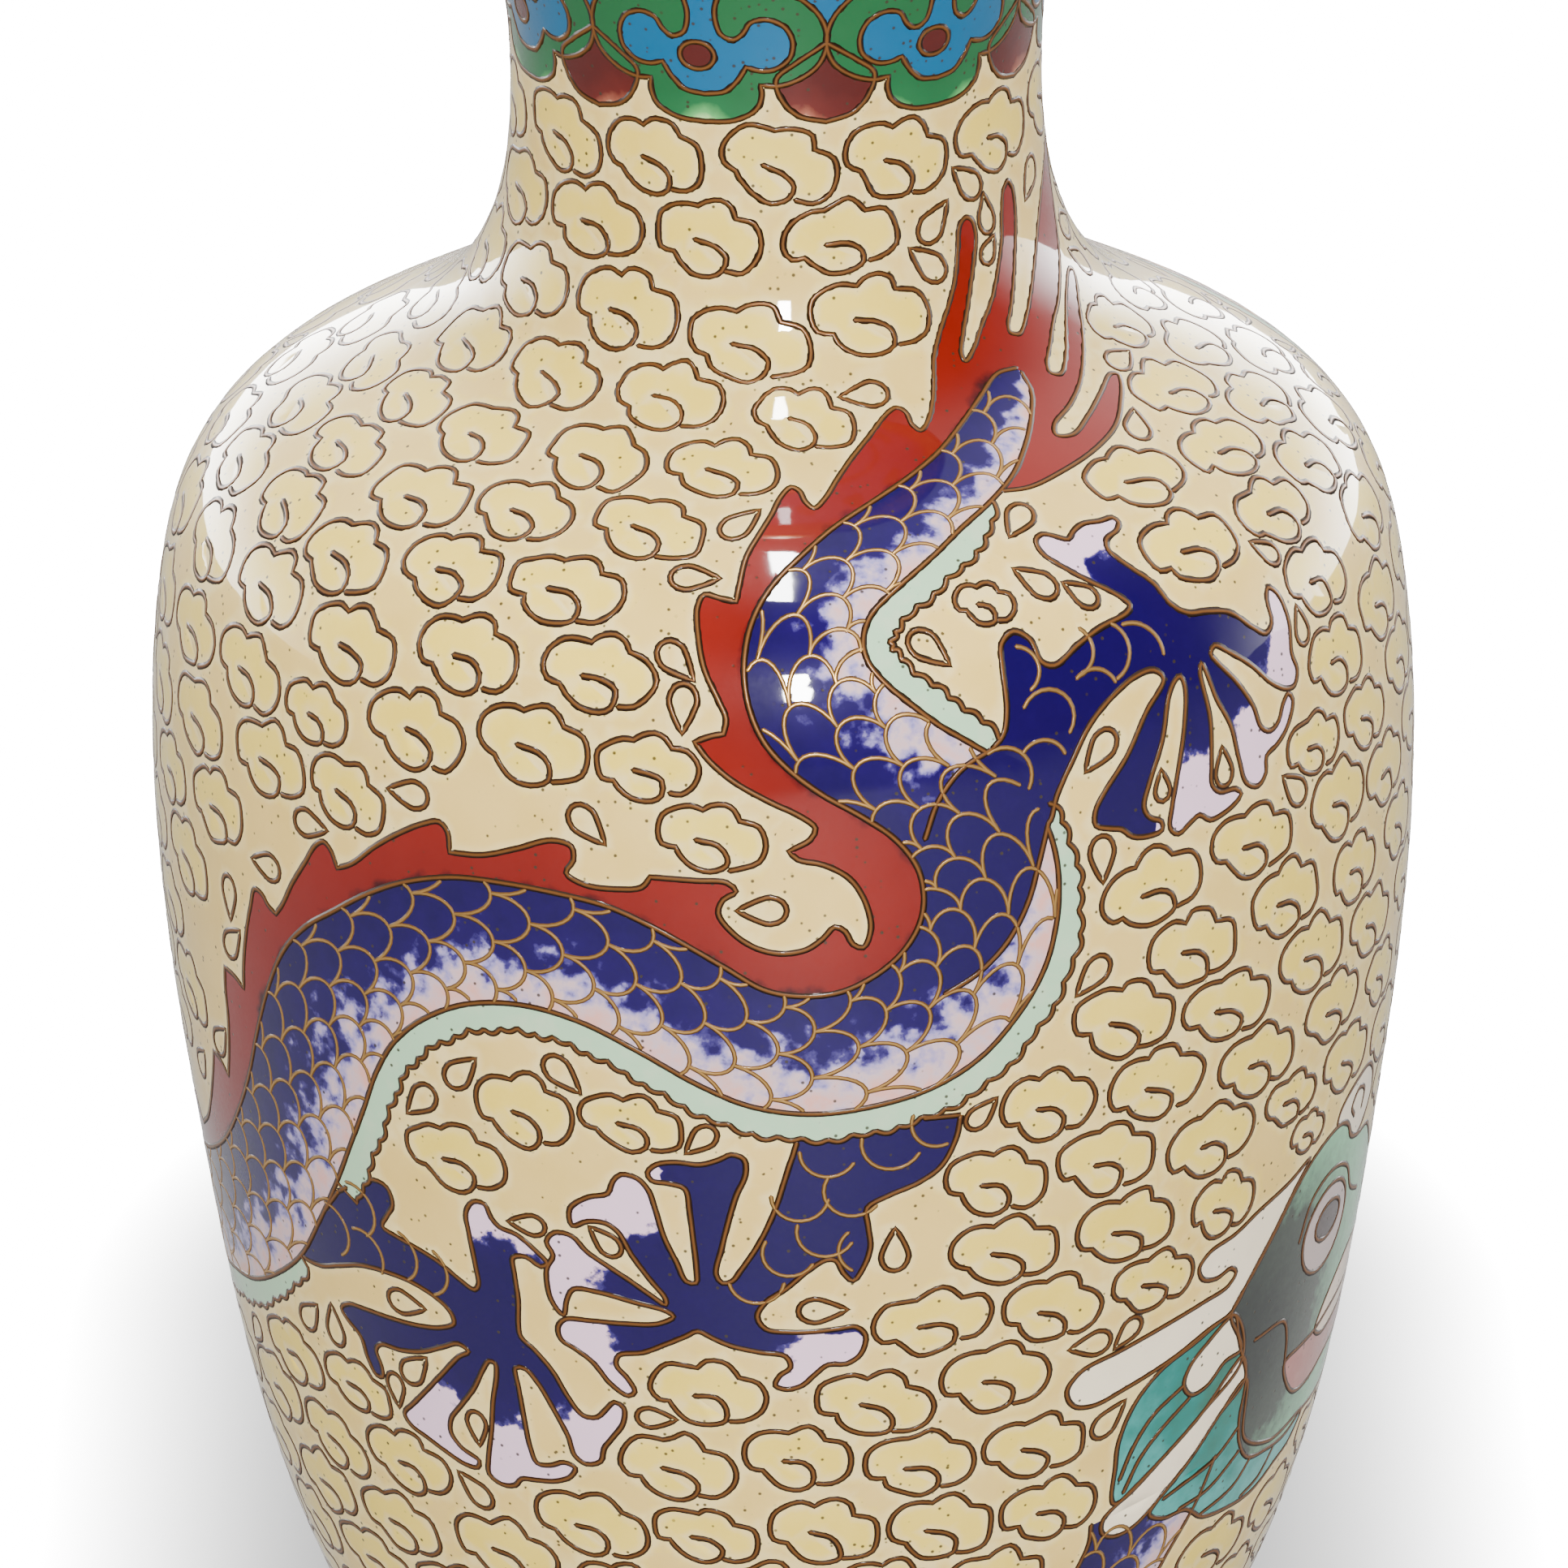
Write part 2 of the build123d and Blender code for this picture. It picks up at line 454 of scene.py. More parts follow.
@dataclass(frozen=True)
class WireMetal:
    """Gilt wire, bright along its ground-down top and dark where it meets the enamel."""

    name: str
    bright: Colour
    dark: Colour
    shine: float = 0.3

    def material(self) -> bpy.types.Material:
        """Mixes the metal."""
        recipe = Recipe(self.name)
        top = recipe.kept("top")
        tarnish = recipe.noise(2.4, 4.0)
        worn = top.rise(0.5, 0.95) * (1.5 - tarnish)
        colour = recipe.mix(worn, self.dark, self.bright)
        recipe.bump(recipe.noise(0.3, 2.0), 0.01)
        return recipe.finish(
            base_color=colour,
            metallic=worn * self.shine,
            roughness=0.5 - worn * 0.15,
            specular_ior_level=0.15,
            coat_weight=0.15,
            coat_roughness=0.06,
        )


@dataclass(frozen=True)
class TurnedMetal:
    """Metal turned on a lathe or drawn, with fine rings and a little tarnish."""

    name: str
    clean: Colour
    dull: Colour
    roughness: float = 0.22
    ring: float = 0.35

    def material(self) -> bpy.types.Material:
        """Mixes the metal."""
        recipe = Recipe(self.name)
        tarnish = recipe.noise(7.0, 5.0).rise(0.35, 0.75)
        rings = recipe.noise(self.ring, 2.0, stretch=(0.02, 0.02, 1.0))
        colour = recipe.mix(tarnish * 0.6 + rings * 0.25, self.clean, self.dull)
        recipe.bump(rings + recipe.noise(0.5, 2.0) * 0.4, 0.012)
        return recipe.finish(
            base_color=colour, metallic=1.0, roughness=tarnish * 0.14 + self.roughness
        )


@dataclass(frozen=True)
class CounterEnamel:
    """Plain enamel on the hidden sides, with an orange-peel surface and pinholes."""

    name: str
    colour: Colour
    deep: Colour

    def material(self) -> bpy.types.Material:
        """Mixes the enamel."""
        recipe = Recipe(self.name)
        cloud = recipe.noise(6.0, 5.0)
        pit = recipe.spots(2.2, 0.82, 0.1)
        colour = recipe.mix(cloud.rise(0.3, 0.7), self.colour, self.deep)
        colour = recipe.mix(pit * 0.7, colour, paint(28, 34, 38))
        recipe.bump(recipe.noise(1.3, 2.0) - pit * 0.6, 0.08)
        return recipe.finish(
            base_color=colour, roughness=cloud * 0.2 + 0.2, coat_weight=0.8, coat_roughness=0.08
        )


CREAM_EDGE = paint(244, 217, 148)
BLUE_DEEP = paint(20, 1, 68)
BLUE_PALE = paint(67, 57, 120)
WHITE_LILAC = paint(235, 200, 220)


class Enamel(Enum):
    """The enamels of the picture, each with its glaze."""

    GROUND = Glaze(
        "ground_yellow",
        ((0.0, paint(236, 201, 116)), (1.0, paint(246, 214, 98))),
        edge=CREAM_EDGE, edge_reach=1.0, cloudy=0.2, pits=0.84,
    )
    SCALES = Glaze(
        "scale_blue",
        (
            (0.0, BLUE_DEEP), (0.47, paint(25, 2, 78)), (0.55, BLUE_PALE), (0.63, paint(150, 140, 190)),
            (0.76, paint(205, 178, 184)), (1.0, paint(222, 166, 152)),
        ),
        mottle=1.15, mottle_size=1.9, cloudy=0.1, pits=0.88,
    )
    PAW = Glaze(
        "paw_blue",
        ((0.0, BLUE_DEEP), (0.44, paint(23, 1, 74)), (0.52, BLUE_PALE), (0.6, WHITE_LILAC), (1.0, WHITE_LILAC)),
        mottle=1.0, mottle_size=1.5, cloudy=0.08, pits=0.86,
    )
    MANE = Glaze(
        "mane_red",
        ((0.0, paint(20, 3, 30)), (0.28, paint(51, 6, 10)), (0.42, paint(118, 24, 17)), (1.0, paint(124, 26, 18))),
        mottle=0.55, mottle_size=2.4, cloudy=0.16,
    )
    RIBBON = Glaze(
        "belly_mint",
        ((0.0, paint(172, 208, 170)), (0.5, paint(206, 210, 180)), (1.0, paint(236, 200, 176))),
        mottle=0.9, mottle_size=2.0,
    )
    HORN = Glaze("horn_white", ((0.0, paint(252, 236, 206)), (1.0, paint(235, 205, 190))), mottle=0.6, mottle_size=2.5)
    HAIR = Glaze(
        "hair_teal",
        ((0.0, paint(50, 92, 67)), (0.5, paint(36, 123, 114)), (1.0, paint(90, 176, 170))),
        mottle=0.8, mottle_size=2.6, cloudy=0.2,
    )
    FACE = Glaze(
        "face_green",
        (
            (0.0, paint(44, 48, 45)), (0.45, paint(60, 68, 60)), (0.62, paint(100, 140, 112)),
            (1.0, paint(134, 200, 154)),
        ),
        mottle=0.35, mottle_size=1.0, cloudy=0.2,
    )
    MOUTH = Glaze("mouth_pink", ((0.0, paint(175, 112, 104)), (1.0, paint(235, 190, 175))), mottle=0.5)
    LIP = Glaze("lip_pink", ((0.0, paint(252, 226, 200)), (1.0, paint(235, 180, 165))), mottle=0.4)
    IRIS = Glaze("iris_grey", ((0.0, paint(70, 58, 58)), (1.0, paint(104, 92, 92))), mottle=0.5)
    EYE = Glaze("eye_white", ((0.0, paint(190, 170, 165)), (1.0, paint(160, 142, 138))), mottle=0.6)
    COLLAR_GREEN = Glaze(
        "collar_green",
        ((0.0, paint(22, 92, 50)), (0.6, paint(26, 100, 56)), (0.85, paint(90, 170, 96)), (1.0, paint(180, 226, 146))),
        mottle=0.3, pits=0.72,
    )
    COLLAR_BLUE = Glaze(
        "collar_blue",
        ((0.0, paint(2, 92, 136)), (1.0, paint(10, 84, 122))),
        mottle=0.8, mottle_size=3.0, pits=0.68,
    )
    COLLAR_RED = Glaze(
        "collar_red",
        ((0.0, paint(76, 20, 16)), (0.6, paint(92, 28, 22)), (0.85, paint(150, 84, 64)), (1.0, paint(226, 190, 150))),
        mottle=0.5, pits=0.82,
    )


WIRE = WireMetal("gilt_wire", paint(118, 76, 38), paint(42, 24, 10))
GOLD_WIRE = WireMetal("gold_wire", paint(190, 146, 82), paint(96, 66, 30), shine=0.75)
BRASS = TurnedMetal("brass", paint(214, 160, 78), paint(132, 88, 38))
BORDER_WIRE = TurnedMetal("border_wire", paint(190, 136, 70), paint(96, 60, 28), ring=0.2)
COPPER = TurnedMetal("copper", paint(206, 122, 88), paint(110, 54, 36), roughness=0.35)
SOLDER = TurnedMetal("silver_solder", paint(190, 188, 180), paint(120, 116, 110), roughness=0.4)
LINING = CounterEnamel("counter_blue", paint(20, 96, 134), paint(10, 62, 98))


# ---- mesh building ----------------------------------------------------------------------------


def make_piece(name: str, points: np.ndarray, faces: object, material: bpy.types.Material) -> bpy.types.Object:
    """Makes a smooth mesh piece at the origin from points in metres."""
    mesh = bpy.data.meshes.new(name)
    mesh.from_pydata(points.tolist(), [], faces if isinstance(faces, list) else faces.tolist())
    mesh.materials.append(material)
    piece = bpy.data.objects.new(name, mesh)
    bpy.context.collection.objects.link(piece)
    mesh.polygons.foreach_set("use_smooth", np.ones(len(mesh.polygons), bool))
    mesh.update()
    return piece


def keep_value(piece: bpy.types.Object, name: str, values: np.ndarray) -> None:
    """Stores one number at each point of a piece's mesh."""
    layer = piece.data.attributes.new(name, "FLOAT", "POINT")
    layer.data.foreach_set("value", np.asarray(values, np.float32))


def settle(piece: bpy.types.Object, slot: str, *nodes: str) -> None:
    """Hands a piece to the frame under the root body, and hides the nodes that it stands for. The slot is not used."""
    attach(piece, "root")
    if nodes:
        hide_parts(*nodes)
    faces = len(piece.data.polygons)
    LOG.info("%s: %d faces", piece.name, faces)


def tree_of(points: np.ndarray) -> KDTree:
    """A search tree over flat points."""
    tree = KDTree(len(points))
    for i, (x, y) in enumerate(points):
        tree.insert((x, y, 0.0), i)
    tree.balance()
    return tree


def nearest(tree: KDTree, points: np.ndarray) -> tuple[np.ndarray, np.ndarray]:
    """Number and distance of the tree's point nearest to each point."""
    found = [tree.find((x, y, 0.0)) for x, y in points]
    return np.array([f[1] for f in found]), np.array([f[2] for f in found])


# ---- the picture ------------------------------------------------------------------------------

Shade = Callable[[np.ndarray], np.ndarray]


def even(points: np.ndarray) -> np.ndarray:
    """The same shade all over."""
    return np.zeros(len(points))


@dataclass
class Cell:
    """A closed area of one enamel. A later cell covers an earlier one."""

    outline: np.ndarray
    enamel: Enamel
    shade: Shade = even


@dataclass
class Wire:
    """A bent wire, as its centre line on the pattern."""

    line: np.ndarray
    closed: bool
    group: str


class Picture:
    """Collects the wires and cells on the pattern, and fires them onto the vase."""

    WIDTH = 0.68  # of a wire, in millimetres on the vase
    PROUD = 0.026  # how far its top stands out of the enamel
    SUNK = 0.009  # how far its sides go into the enamel
    FINE = 0.72  # breadth of a scale's wire, as a share of the others
    GRID = 1.15  # spacing of the enamel's mesh
    CLEAR = 0.4  # least distance from the mesh's free points to a wire
    CLOSING = 12  # points along the stretch that closes a wire

    def __init__(self, surface: VaseSurface) -> None:
        """Starts an empty picture on that surface."""
        self.surface = surface
        self.wires: list[Wire] = []
        self.cells: list[Cell] = []

    def wire(self, line: np.ndarray, group: str, closed: bool = False) -> None:
        """Lays a wire."""
        self.wires.append(Wire(np.asarray(line, float), closed, group))

    def cell(self, outline: np.ndarray, enamel: Enamel, group: str = "", shade: Shade = even) -> None:
        """Fills an outline, and lays a wire round it if a group for the wire is given."""
        self.cells.append(Cell(np.asarray(outline, float), enamel, shade))
        if group:
            self.wire(outline, group, closed=True)

    def hide(self, outline: np.ndarray) -> None:
        """Takes away the wires inside an outline, apart from the scales' ones, and opens those that it cuts.

        Args:
            outline: The outline of what covers them.
        """
        kept = []
        for wire in self.wires:
            line = wire.line
            if wire.closed:
                line = np.vstack([line, np.linspace(line[-1], line[0], self.CLOSING)[1:-1]])
            inside = encloses(outline, line)
            if wire.group.endswith("scale_wires") or not inside.any():
                kept.append(wire)
                continue
            if wire.closed:
                start = int(np.argmax(inside))
                line, inside = np.roll(line, -start, 0), np.roll(inside, -start)
            for run in np.split(np.arange(len(line)), np.where(inside)[0]):
                run = run[~inside[run]]
                if len(run) > 2:
                    kept.append(Wire(line[run], False, wire.group))
        self.wires = kept

    def all_points(self) -> np.ndarray:
        """Every point of every wire, also as seen once round the vase to each side."""
        points = np.vstack([wire.line for wire in self.wires])
        turn = np.array([2 * self.surface.half_turn, 0])
        return np.vstack([points, points - turn, points + turn])

    def covered(self, points: np.ndarray) -> np.ndarray:
        """Tells which points lie in a cell other than the ground."""
        inside = np.zeros(len(points), bool)
        for cell in self.cells:
            for turn in (-1, 0, 1):
                shift = np.array([turn * 2 * self.surface.half_turn, 0])
                inside |= encloses(cell.outline + shift, points)
        return inside

    def grid(self, bottom: float, top: float) -> np.ndarray:
        """Staggered points at an even spacing over the vase, clear of the wires."""
        rows = []
        up, odd = bottom, False
        while up < top:
            shrink = float(self.surface.shrink(up))
            count = round(2 * self.surface.half_turn * shrink / self.GRID)
            pitch = 2 * self.surface.half_turn / count
            start = -self.surface.half_turn + (pitch / 2 if odd else pitch)
            x = start + np.arange(count - (0 if odd else 1)) * pitch
            rows.append(np.stack([x, np.full(len(x), up)], 1))
            up += self.GRID * 0.87 / shrink
            odd = not odd
        points = np.vstack(rows[1:])
        clear = nearest(tree_of(self.all_points()), points)[1] * self.surface.shrink(points[:, 1])
        return points[clear > self.CLEAR]

    def triangulate(self, bottom: float, top: float) -> tuple[np.ndarray, np.ndarray]:
        """Cuts the pattern into triangles whose edges follow every wire.

        Args:
            bottom: Lowest place on the pattern.
            top: Highest place on the pattern.

        Returns:
            The points and the triangles.
        """
        half = self.surface.half_turn
        points: list[np.ndarray] = [self.grid(bottom, top)]
        edges: list[tuple[int, int]] = []
        total = len(points[0])
        lines = [(w.line, w.closed) for w in self.wires] + [(c.outline, True) for c in self.cells]
        for line, closed in lines:
            if line[:, 1].max() < bottom - 1 or line[:, 1].min() > top + 1:
                continue
            for turn in (-1, 0, 1):
                moved = line + np.array([turn * 2 * half, 0])
                if moved[:, 0].max() < -half or moved[:, 0].min() > half:
                    continue
                points.append(moved)
                count = len(moved)
                edges += [(total + i, total + i + 1) for i in range(count - 1)]
                if closed:
                    edges.append((total + count - 1, total))
                total += count
        sides = [bottom]
        while sides[-1] < top - self.GRID:
            sides.append(sides[-1] + self.GRID / float(self.surface.shrink(sides[-1])))
        sides = [y for y in sides if y < top] + [top]
        levels = np.linspace(-half, half, 280)[1:-1]
        border = [(-half, y) for y in sides] + [(x, top) for x in levels]
        border += [(half, y) for y in reversed(sides)] + [(x, bottom) for x in reversed(levels)]
        points.append(np.array(border))
        count = len(border)
        edges += [(total + i, total + (i + 1) % count) for i in range(count)]
        flat = np.vstack(points)
        result = delaunay_2d_cdt([Vector(p) for p in flat.tolist()], edges, [], 0, 1e-4, False)
        out = np.array([tuple(v) for v in result[0]])
        tris = np.array(result[2])
        middle = out[tris].mean(1)
        within = (np.abs(middle[:, 0]) < half) & (middle[:, 1] > bottom) & (middle[:, 1] < top)
        return out, tris[within]

    def label(self, middles: np.ndarray) -> np.ndarray:
        """The number of the cell that each point lies in, or -1 for the ground."""
        labels = np.full(len(middles), -1)
        for number, cell in enumerate(self.cells):
            for turn in (-1, 0, 1):
                shift = np.array([turn * 2 * self.surface.half_turn, 0])
                labels[encloses(cell.outline + shift, middles)] = number
        return labels

    def fire(self, bands: Sequence["Band"]) -> None:
        """Makes the enamel pieces and the wire pieces.

        Args:
            bands: The stretches of the vase from foot to mouth, each a CAD node of its own.
        """
        for band in bands:
            low, high = self.surface.up_of(band.low), self.surface.up_of(band.high)
            points, tris = self.triangulate(float(low), float(high))
            labels = self.label(points[tris].mean(1))
            wire_tree = tree_of(self.all_points())
            groups: dict[Enamel, list[int]] = {}
            for number in np.unique(labels):
                enamel = self.cells[number].enamel if number >= 0 else band.main
                groups.setdefault(enamel, []).append(int(number))
            for enamel, numbers in groups.items():
                self.fire_enamel(band, enamel, numbers, points, tris, labels, wire_tree)
        self.bend_wires()

    def fire_enamel(
        self,
        band: "Band",
        enamel: Enamel,
        numbers: list[int],
        points: np.ndarray,
        tris: np.ndarray,
        labels: np.ndarray,
        wire_tree: KDTree,
    ) -> None:
        """Makes one enamel's piece from the triangles of its cells.

        Args:
            band: The stretch of the vase that it is on.
            enamel: The enamel.
            numbers: The numbers of its cells, with -1 for the ground.
            points: The points of the whole band's mesh.
            tris: The triangles of the whole band's mesh.
            labels: The cell that each triangle lies in.
            wire_tree: The wires' points, to find the distance to the nearest.
        """
        chosen = np.isin(labels, numbers)
        faces = tris[chosen]
        owner = labels[chosen]
        used, back = np.unique(faces, return_inverse=True)
        faces = back.reshape(-1, 3)
        flat = points[used]
        shade = np.zeros(len(flat))
        for number in numbers:
            if number >= 0:
                mine = np.unique(faces[owner == number])
                shift = self.turns_to(self.cells[number].outline, flat[mine])
                shade[mine] = self.cells[number].shade(flat[mine] + shift)
        _, gap = nearest(wire_tree, flat)
        name = f"{band.node}_{enamel.value.name}"
        piece = make_piece(name, self.surface.wrap(flat), faces, MATERIALS[enamel])
        keep_value(piece, "shade", shade)
        keep_value(piece, "rim", gap * self.surface.shrink(flat[:, 1]))
        close_seam(piece)
        settle(piece, band.slot, *([band.node] if enamel == band.main else []))

    def turns_to(self, outline: np.ndarray, flat: np.ndarray) -> np.ndarray:
        """Sideways moves by whole turns that bring points next to an outline."""
        turn = 2 * self.surface.half_turn
        middle = (outline[:, 0].min() + outline[:, 0].max()) / 2
        return np.stack([np.round((middle - flat[:, 0]) / turn) * turn, np.zeros(len(flat))], 1)

    def bend_wires(self) -> None:
        """Makes one piece for each group of wires."""
        groups: dict[str, list[Wire]] = {}
        for wire in self.wires:
            groups.setdefault(wire.group, []).append(wire)
        for name, wires in groups.items():
            points, faces, tops = [], [], []
            total = 0
            for wire in wires:
                ring, side, top = self.wire_mesh(wire)
                points.append(ring)
                faces += [tuple(total + i for i in face) for face in side]
                tops.append(top)
                total += len(ring)
            metal = MATERIALS["gold" if name.endswith("scale_wires") else "wire"]
            piece = make_piece(name, np.vstack(points), faces, metal)
            keep_value(piece, "top", np.concatenate(tops))
            settle(piece, "wire")

    def wire_mesh(self, wire: Wire) -> tuple[np.ndarray, list[tuple[int, ...]], np.ndarray]:
        """The closed three-sided solid of a wire: its points, its faces and how near its top each point is."""
        line = wire.line
        if wire.closed:
            ahead, behind = np.roll(line, -1, axis=0), np.roll(line, 1, axis=0)
        else:
            ahead = np.vstack([line[1:], 2 * line[-1:] - line[-2:-1]])
            behind = np.vstack([2 * line[:1] - line[1:2], line[:-1]])
        along = ahead - behind
        along /= np.maximum(np.linalg.norm(along, axis=1, keepdims=True), 1e-9)
        side = np.stack([-along[:, 1], along[:, 0]], 1)
        width = self.WIDTH * (self.FINE if wire.group.endswith("scale_wires") else 1.0)
        half = (width / 2 / self.surface.shrink(line[:, 1]))[:, None]
        left = self.surface.wrap(line + side * half, -self.SUNK)
        ridge = self.surface.wrap(line, self.PROUD)
        right = self.surface.wrap(line - side * half, -self.SUNK)
        count = len(line)
        points = np.stack([left, ridge, right], 1).reshape(-1, 3)
        tops = np.tile([0.0, 1.0, 0.0], count)
        faces: list[tuple[int, ...]] = []
        for i in range(count if wire.closed else count - 1):
            a, b = 3 * i, 3 * ((i + 1) % count)
            faces += [(a, a + 1, b + 1, b), (a + 1, a + 2, b + 2, b + 1), (a + 2, a, b, b + 2)]
        if not wire.closed:
            ends = np.stack([line[0] - along[0] * half[0], line[-1] + along[-1] * half[-1]])
            points = np.vstack([points, self.surface.wrap(ends, -self.SUNK)])
            tops = np.append(tops, [0.0, 0.0])
            first, last, z = 3 * count, 3 * count + 1, 3 * (count - 1)
            faces += [(first, 1, 0), (first, 2, 1), (first, 0, 2)]
            faces += [(last, z, z + 1), (last, z + 1, z + 2), (last, z + 2, z)]
        return points, faces, tops


def close_seam(piece: bpy.types.Object) -> None:
    """Joins a piece to itself where the pattern's two sides meet at the back."""
    bpy.ops.object.select_all(action="DESELECT")
    bpy.context.view_layer.objects.active = piece
    piece.select_set(True)
    bpy.ops.object.mode_set(mode="EDIT")
    bpy.ops.mesh.select_all(action="SELECT")
    bpy.ops.mesh.remove_doubles(threshold=0.002 * MM)
    bpy.ops.mesh.select_all(action="DESELECT")
    bpy.ops.object.mode_set(mode="OBJECT")
    piece.select_set(False)


@dataclass
class Band:
    """A stretch of the outer enamel that is one CAD node."""

    node: str
    low: float
    high: float
    main: Enamel
    slot: str


# ---- dragons ----------------------------------------------------------------------------------


class Track:
    """A smooth line through points, read at any place from 0 to the last point's number."""

    def __init__(self, points: Sequence[Point]) -> None:
        """Keeps the points, with one more beyond each end."""
        knots = np.asarray(points, float)
        self.knots = np.vstack([2 * knots[0] - knots[1], knots, 2 * knots[-1] - knots[-2]])
        self.last = len(knots) - 1

    def at(self, place: np.ndarray) -> np.ndarray:
        """The points at those places."""
        place = np.clip(np.asarray(place, float), 0, self.last)
        i = np.minimum(place.astype(int), self.last - 1)
        t = (place - i)[:, None]
        p0, p1, p2, p3 = (self.knots[i + k] for k in range(4))
        return 0.5 * (
            2 * p1 + (p2 - p0) * t + (2 * p0 - 5 * p1 + 4 * p2 - p3) * t**2 + (3 * p1 - p0 - 3 * p2 + p3) * t**3
        )


@dataclass
class Body:
    """A dragon's long body, given by ribs from its tail to its neck.

    Each rib has a point on the spine and a point on the belly line. Scales lie in staggered rows with
    their round edges towards the tail.
    """

    ribs: tuple[tuple[Point, Point], ...]
    group: str
    scale: float = 4.0  # breadth of a scale on the vase
    row: float = 3.0  # spacing of the rows
    apex: float = 2.9  # height of a scale's round edge
    row_reach: int = 70  # how many of its finest places a row may lean to each side

    def __post_init__(self) -> None:
        """Sets out the spine and the belly line."""
        self.spine = Track([rib[0] for rib in self.ribs])
        self.belly = Track([rib[1] for rib in self.ribs])
        self.last = len(self.ribs) - 1

    def places(self, start: float, end: float, step: float = 0.12) -> np.ndarray:
        """Evenly spaced places along the body."""
        return np.linspace(start, end, max(2, round(abs(end - start) / step)))

    def draw(self, picture: Picture) -> None:
        """Lays the body's outline and scales, and fills it."""
        surface = picture.surface
        at = self.places(0, self.last)
        spine, belly = self.spine.at(at), self.belly.at(at)
        share = np.linspace(0, 1, 9)
        grid = spine[:, None] * (1 - share)[None, :, None] + belly[:, None] * share[None, :, None]
        tree = tree_of(grid.reshape(-1, 2))

        def across(points: np.ndarray) -> np.ndarray:
            """0 along the spine to 1 along the belly line."""
            return share[nearest(tree, points)[0] % len(share)] * 0.9

        outline = np.vstack([spine, belly[::-1]])
        picture.hide(outline)
        picture.cell(outline, Enamel.SCALES, shade=across)
        picture.wire(spine, self.group + "_outline_wires")
        picture.wire(belly, self.group + "_outline_wires")
        fine = self.places(0, self.last, 0.03)
        middle = (self.spine.at(fine) + self.belly.at(fine)) / 2
        shrink = surface.shrink(middle[:, 1])
        step = np.linalg.norm(np.diff(middle, axis=0), axis=1) * (shrink[1:] + shrink[:-1]) / 2
        length = np.concatenate([[0], np.cumsum(step)])
        along = np.gradient(middle, axis=0)
        sides = self.spine.at(fine), self.belly.at(fine)
        turn = np.radians(np.linspace(0, 180, 15))[:, None]

        def row_ends(start: float) -> list[np.ndarray]:
            """Where a row of scales at that length along the body, square to it, meets its two edges."""
            k = int(np.searchsorted(length, start))
            near = slice(max(0, k - self.row_reach), k + self.row_reach)
            return [line[near][np.argmin(np.abs((line[near] - middle[k]) @ along[k]))] for line in sides]

        arcs = []
        for k in range(1, int((length[-1] - self.apex) / self.row)):
            here, below = row_ends(self.apex + k * self.row), row_ends(self.apex + (k - 1) * self.row)
            width = np.linalg.norm(here[1] - here[0]) * float(surface.shrink((here[0][1] + here[1][1]) / 2))
            for j in range(-1, int(width / self.scale) + 2):
                share_at = (j + (0.75 if k % 2 else 0.25)) * self.scale / width
                centre, last = (ends[0] * (1 - share_at) + ends[1] * share_at for ends in (here, below))
                across_step = (here[1] - here[0]) * 0.5 * self.scale / width
                down = (last - centre) * self.apex / self.row
                arcs.append(centre + np.cos(turn) * across_step + np.sin(turn) * down)
        inside = encloses(outline, np.vstack(arcs)).reshape(len(arcs), -1)
        for arc, ok in zip(arcs, inside):
            for run in np.split(np.arange(len(ok)), np.where(~ok)[0]):
                run = [i for i in run if ok[i]]
                if len(run) > 2:
                    picture.wire(arc[run], self.group + "_scale_wires")

    def flames(self, picture: Picture, start: float, end: float) -> None:
        """Lays a row of flames along the spine, between two places.

        Args:
            picture: Where to draw.
            start: First place along the body.
            end: Last place along the body.
        """
        at = self.places(start, end, 0.05)
        line = self.spine.at(at)
        out = line - self.belly.at(at)
        out /= np.linalg.norm(out, axis=1, keepdims=True)
        shrink = picture.surface.shrink(line[:, 1])
        step = np.linalg.norm(np.diff(line, axis=0), axis=1) * shrink[1:]
        length = np.concatenate([[0], np.cumsum(step)])
        rise = 1.5 + 2.6 * (length / 7.5 % 1.0) ** 1.4
        rise *= np.interp(at, [start, start + 1, end - 2, end], [0.3, 1, 1, 0.4])
        outer = line + out * (rise / shrink)[:, None]
        inner = line - out
        reach = tree_of(line)

        def soot(points: np.ndarray) -> np.ndarray:
            """Dark beside the spine, clear red away from it."""
            return np.clip(0.3 + nearest(reach, points)[1] * 0.22, 0, 1)

        picture.cell(np.vstack([outer, inner[::-1]]), Enamel.MANE, shade=soot)
        picture.wire(np.vstack([line[:1], outer, line[-1:]]), self.group + "_outline_wires")

    def ribbon(self, picture: Picture, start: float, end: float, width: float, taper: tuple[float, float]) -> None:
        """Lays the toothed belly ribbon beside the belly line.

        Args:
            picture: Where to draw.
            start: First place along the body.
            end: Last place along the body.
            width: Breadth of the ribbon, on the vase.
            taper: Share of the breadth at its two ends.
        """
        at = self.places(start, end, 0.05)
        line = self.belly.at(at)
        inwards = self.spine.at(at) - line
        along = np.gradient(line, axis=0)
        out = np.stack([-along[:, 1], along[:, 0]], 1)
        out /= np.linalg.norm(out, axis=1, keepdims=True)
        out *= -np.sign(np.sum(out * inwards, axis=1))[:, None]
        shrink = picture.surface.shrink(line[:, 1])
        step = np.linalg.norm(np.diff(line, axis=0), axis=1) * shrink[1:]
        length = np.concatenate([[0], np.cumsum(step)])
        ends = np.interp(length / length[-1], [0, 0.12, 0.88, 1], [taper[0], 1, 1, taper[1]])
        teeth = 0.36 * np.abs(np.sin(math.pi * length / 1.75)) + 0.12 * np.sin(length * 1.3)
        outer = line + out * ((width * ends + teeth - 0.2) / shrink)[:, None]
        outline = np.vstack([line, outer[::-1]])
        picture.hide(np.vstack([line[2:-2] + out[2:-2] * 0.3, outer[2:-2][::-1]]))
        picture.cell(outline, Enamel.RIBBON, shade=even)
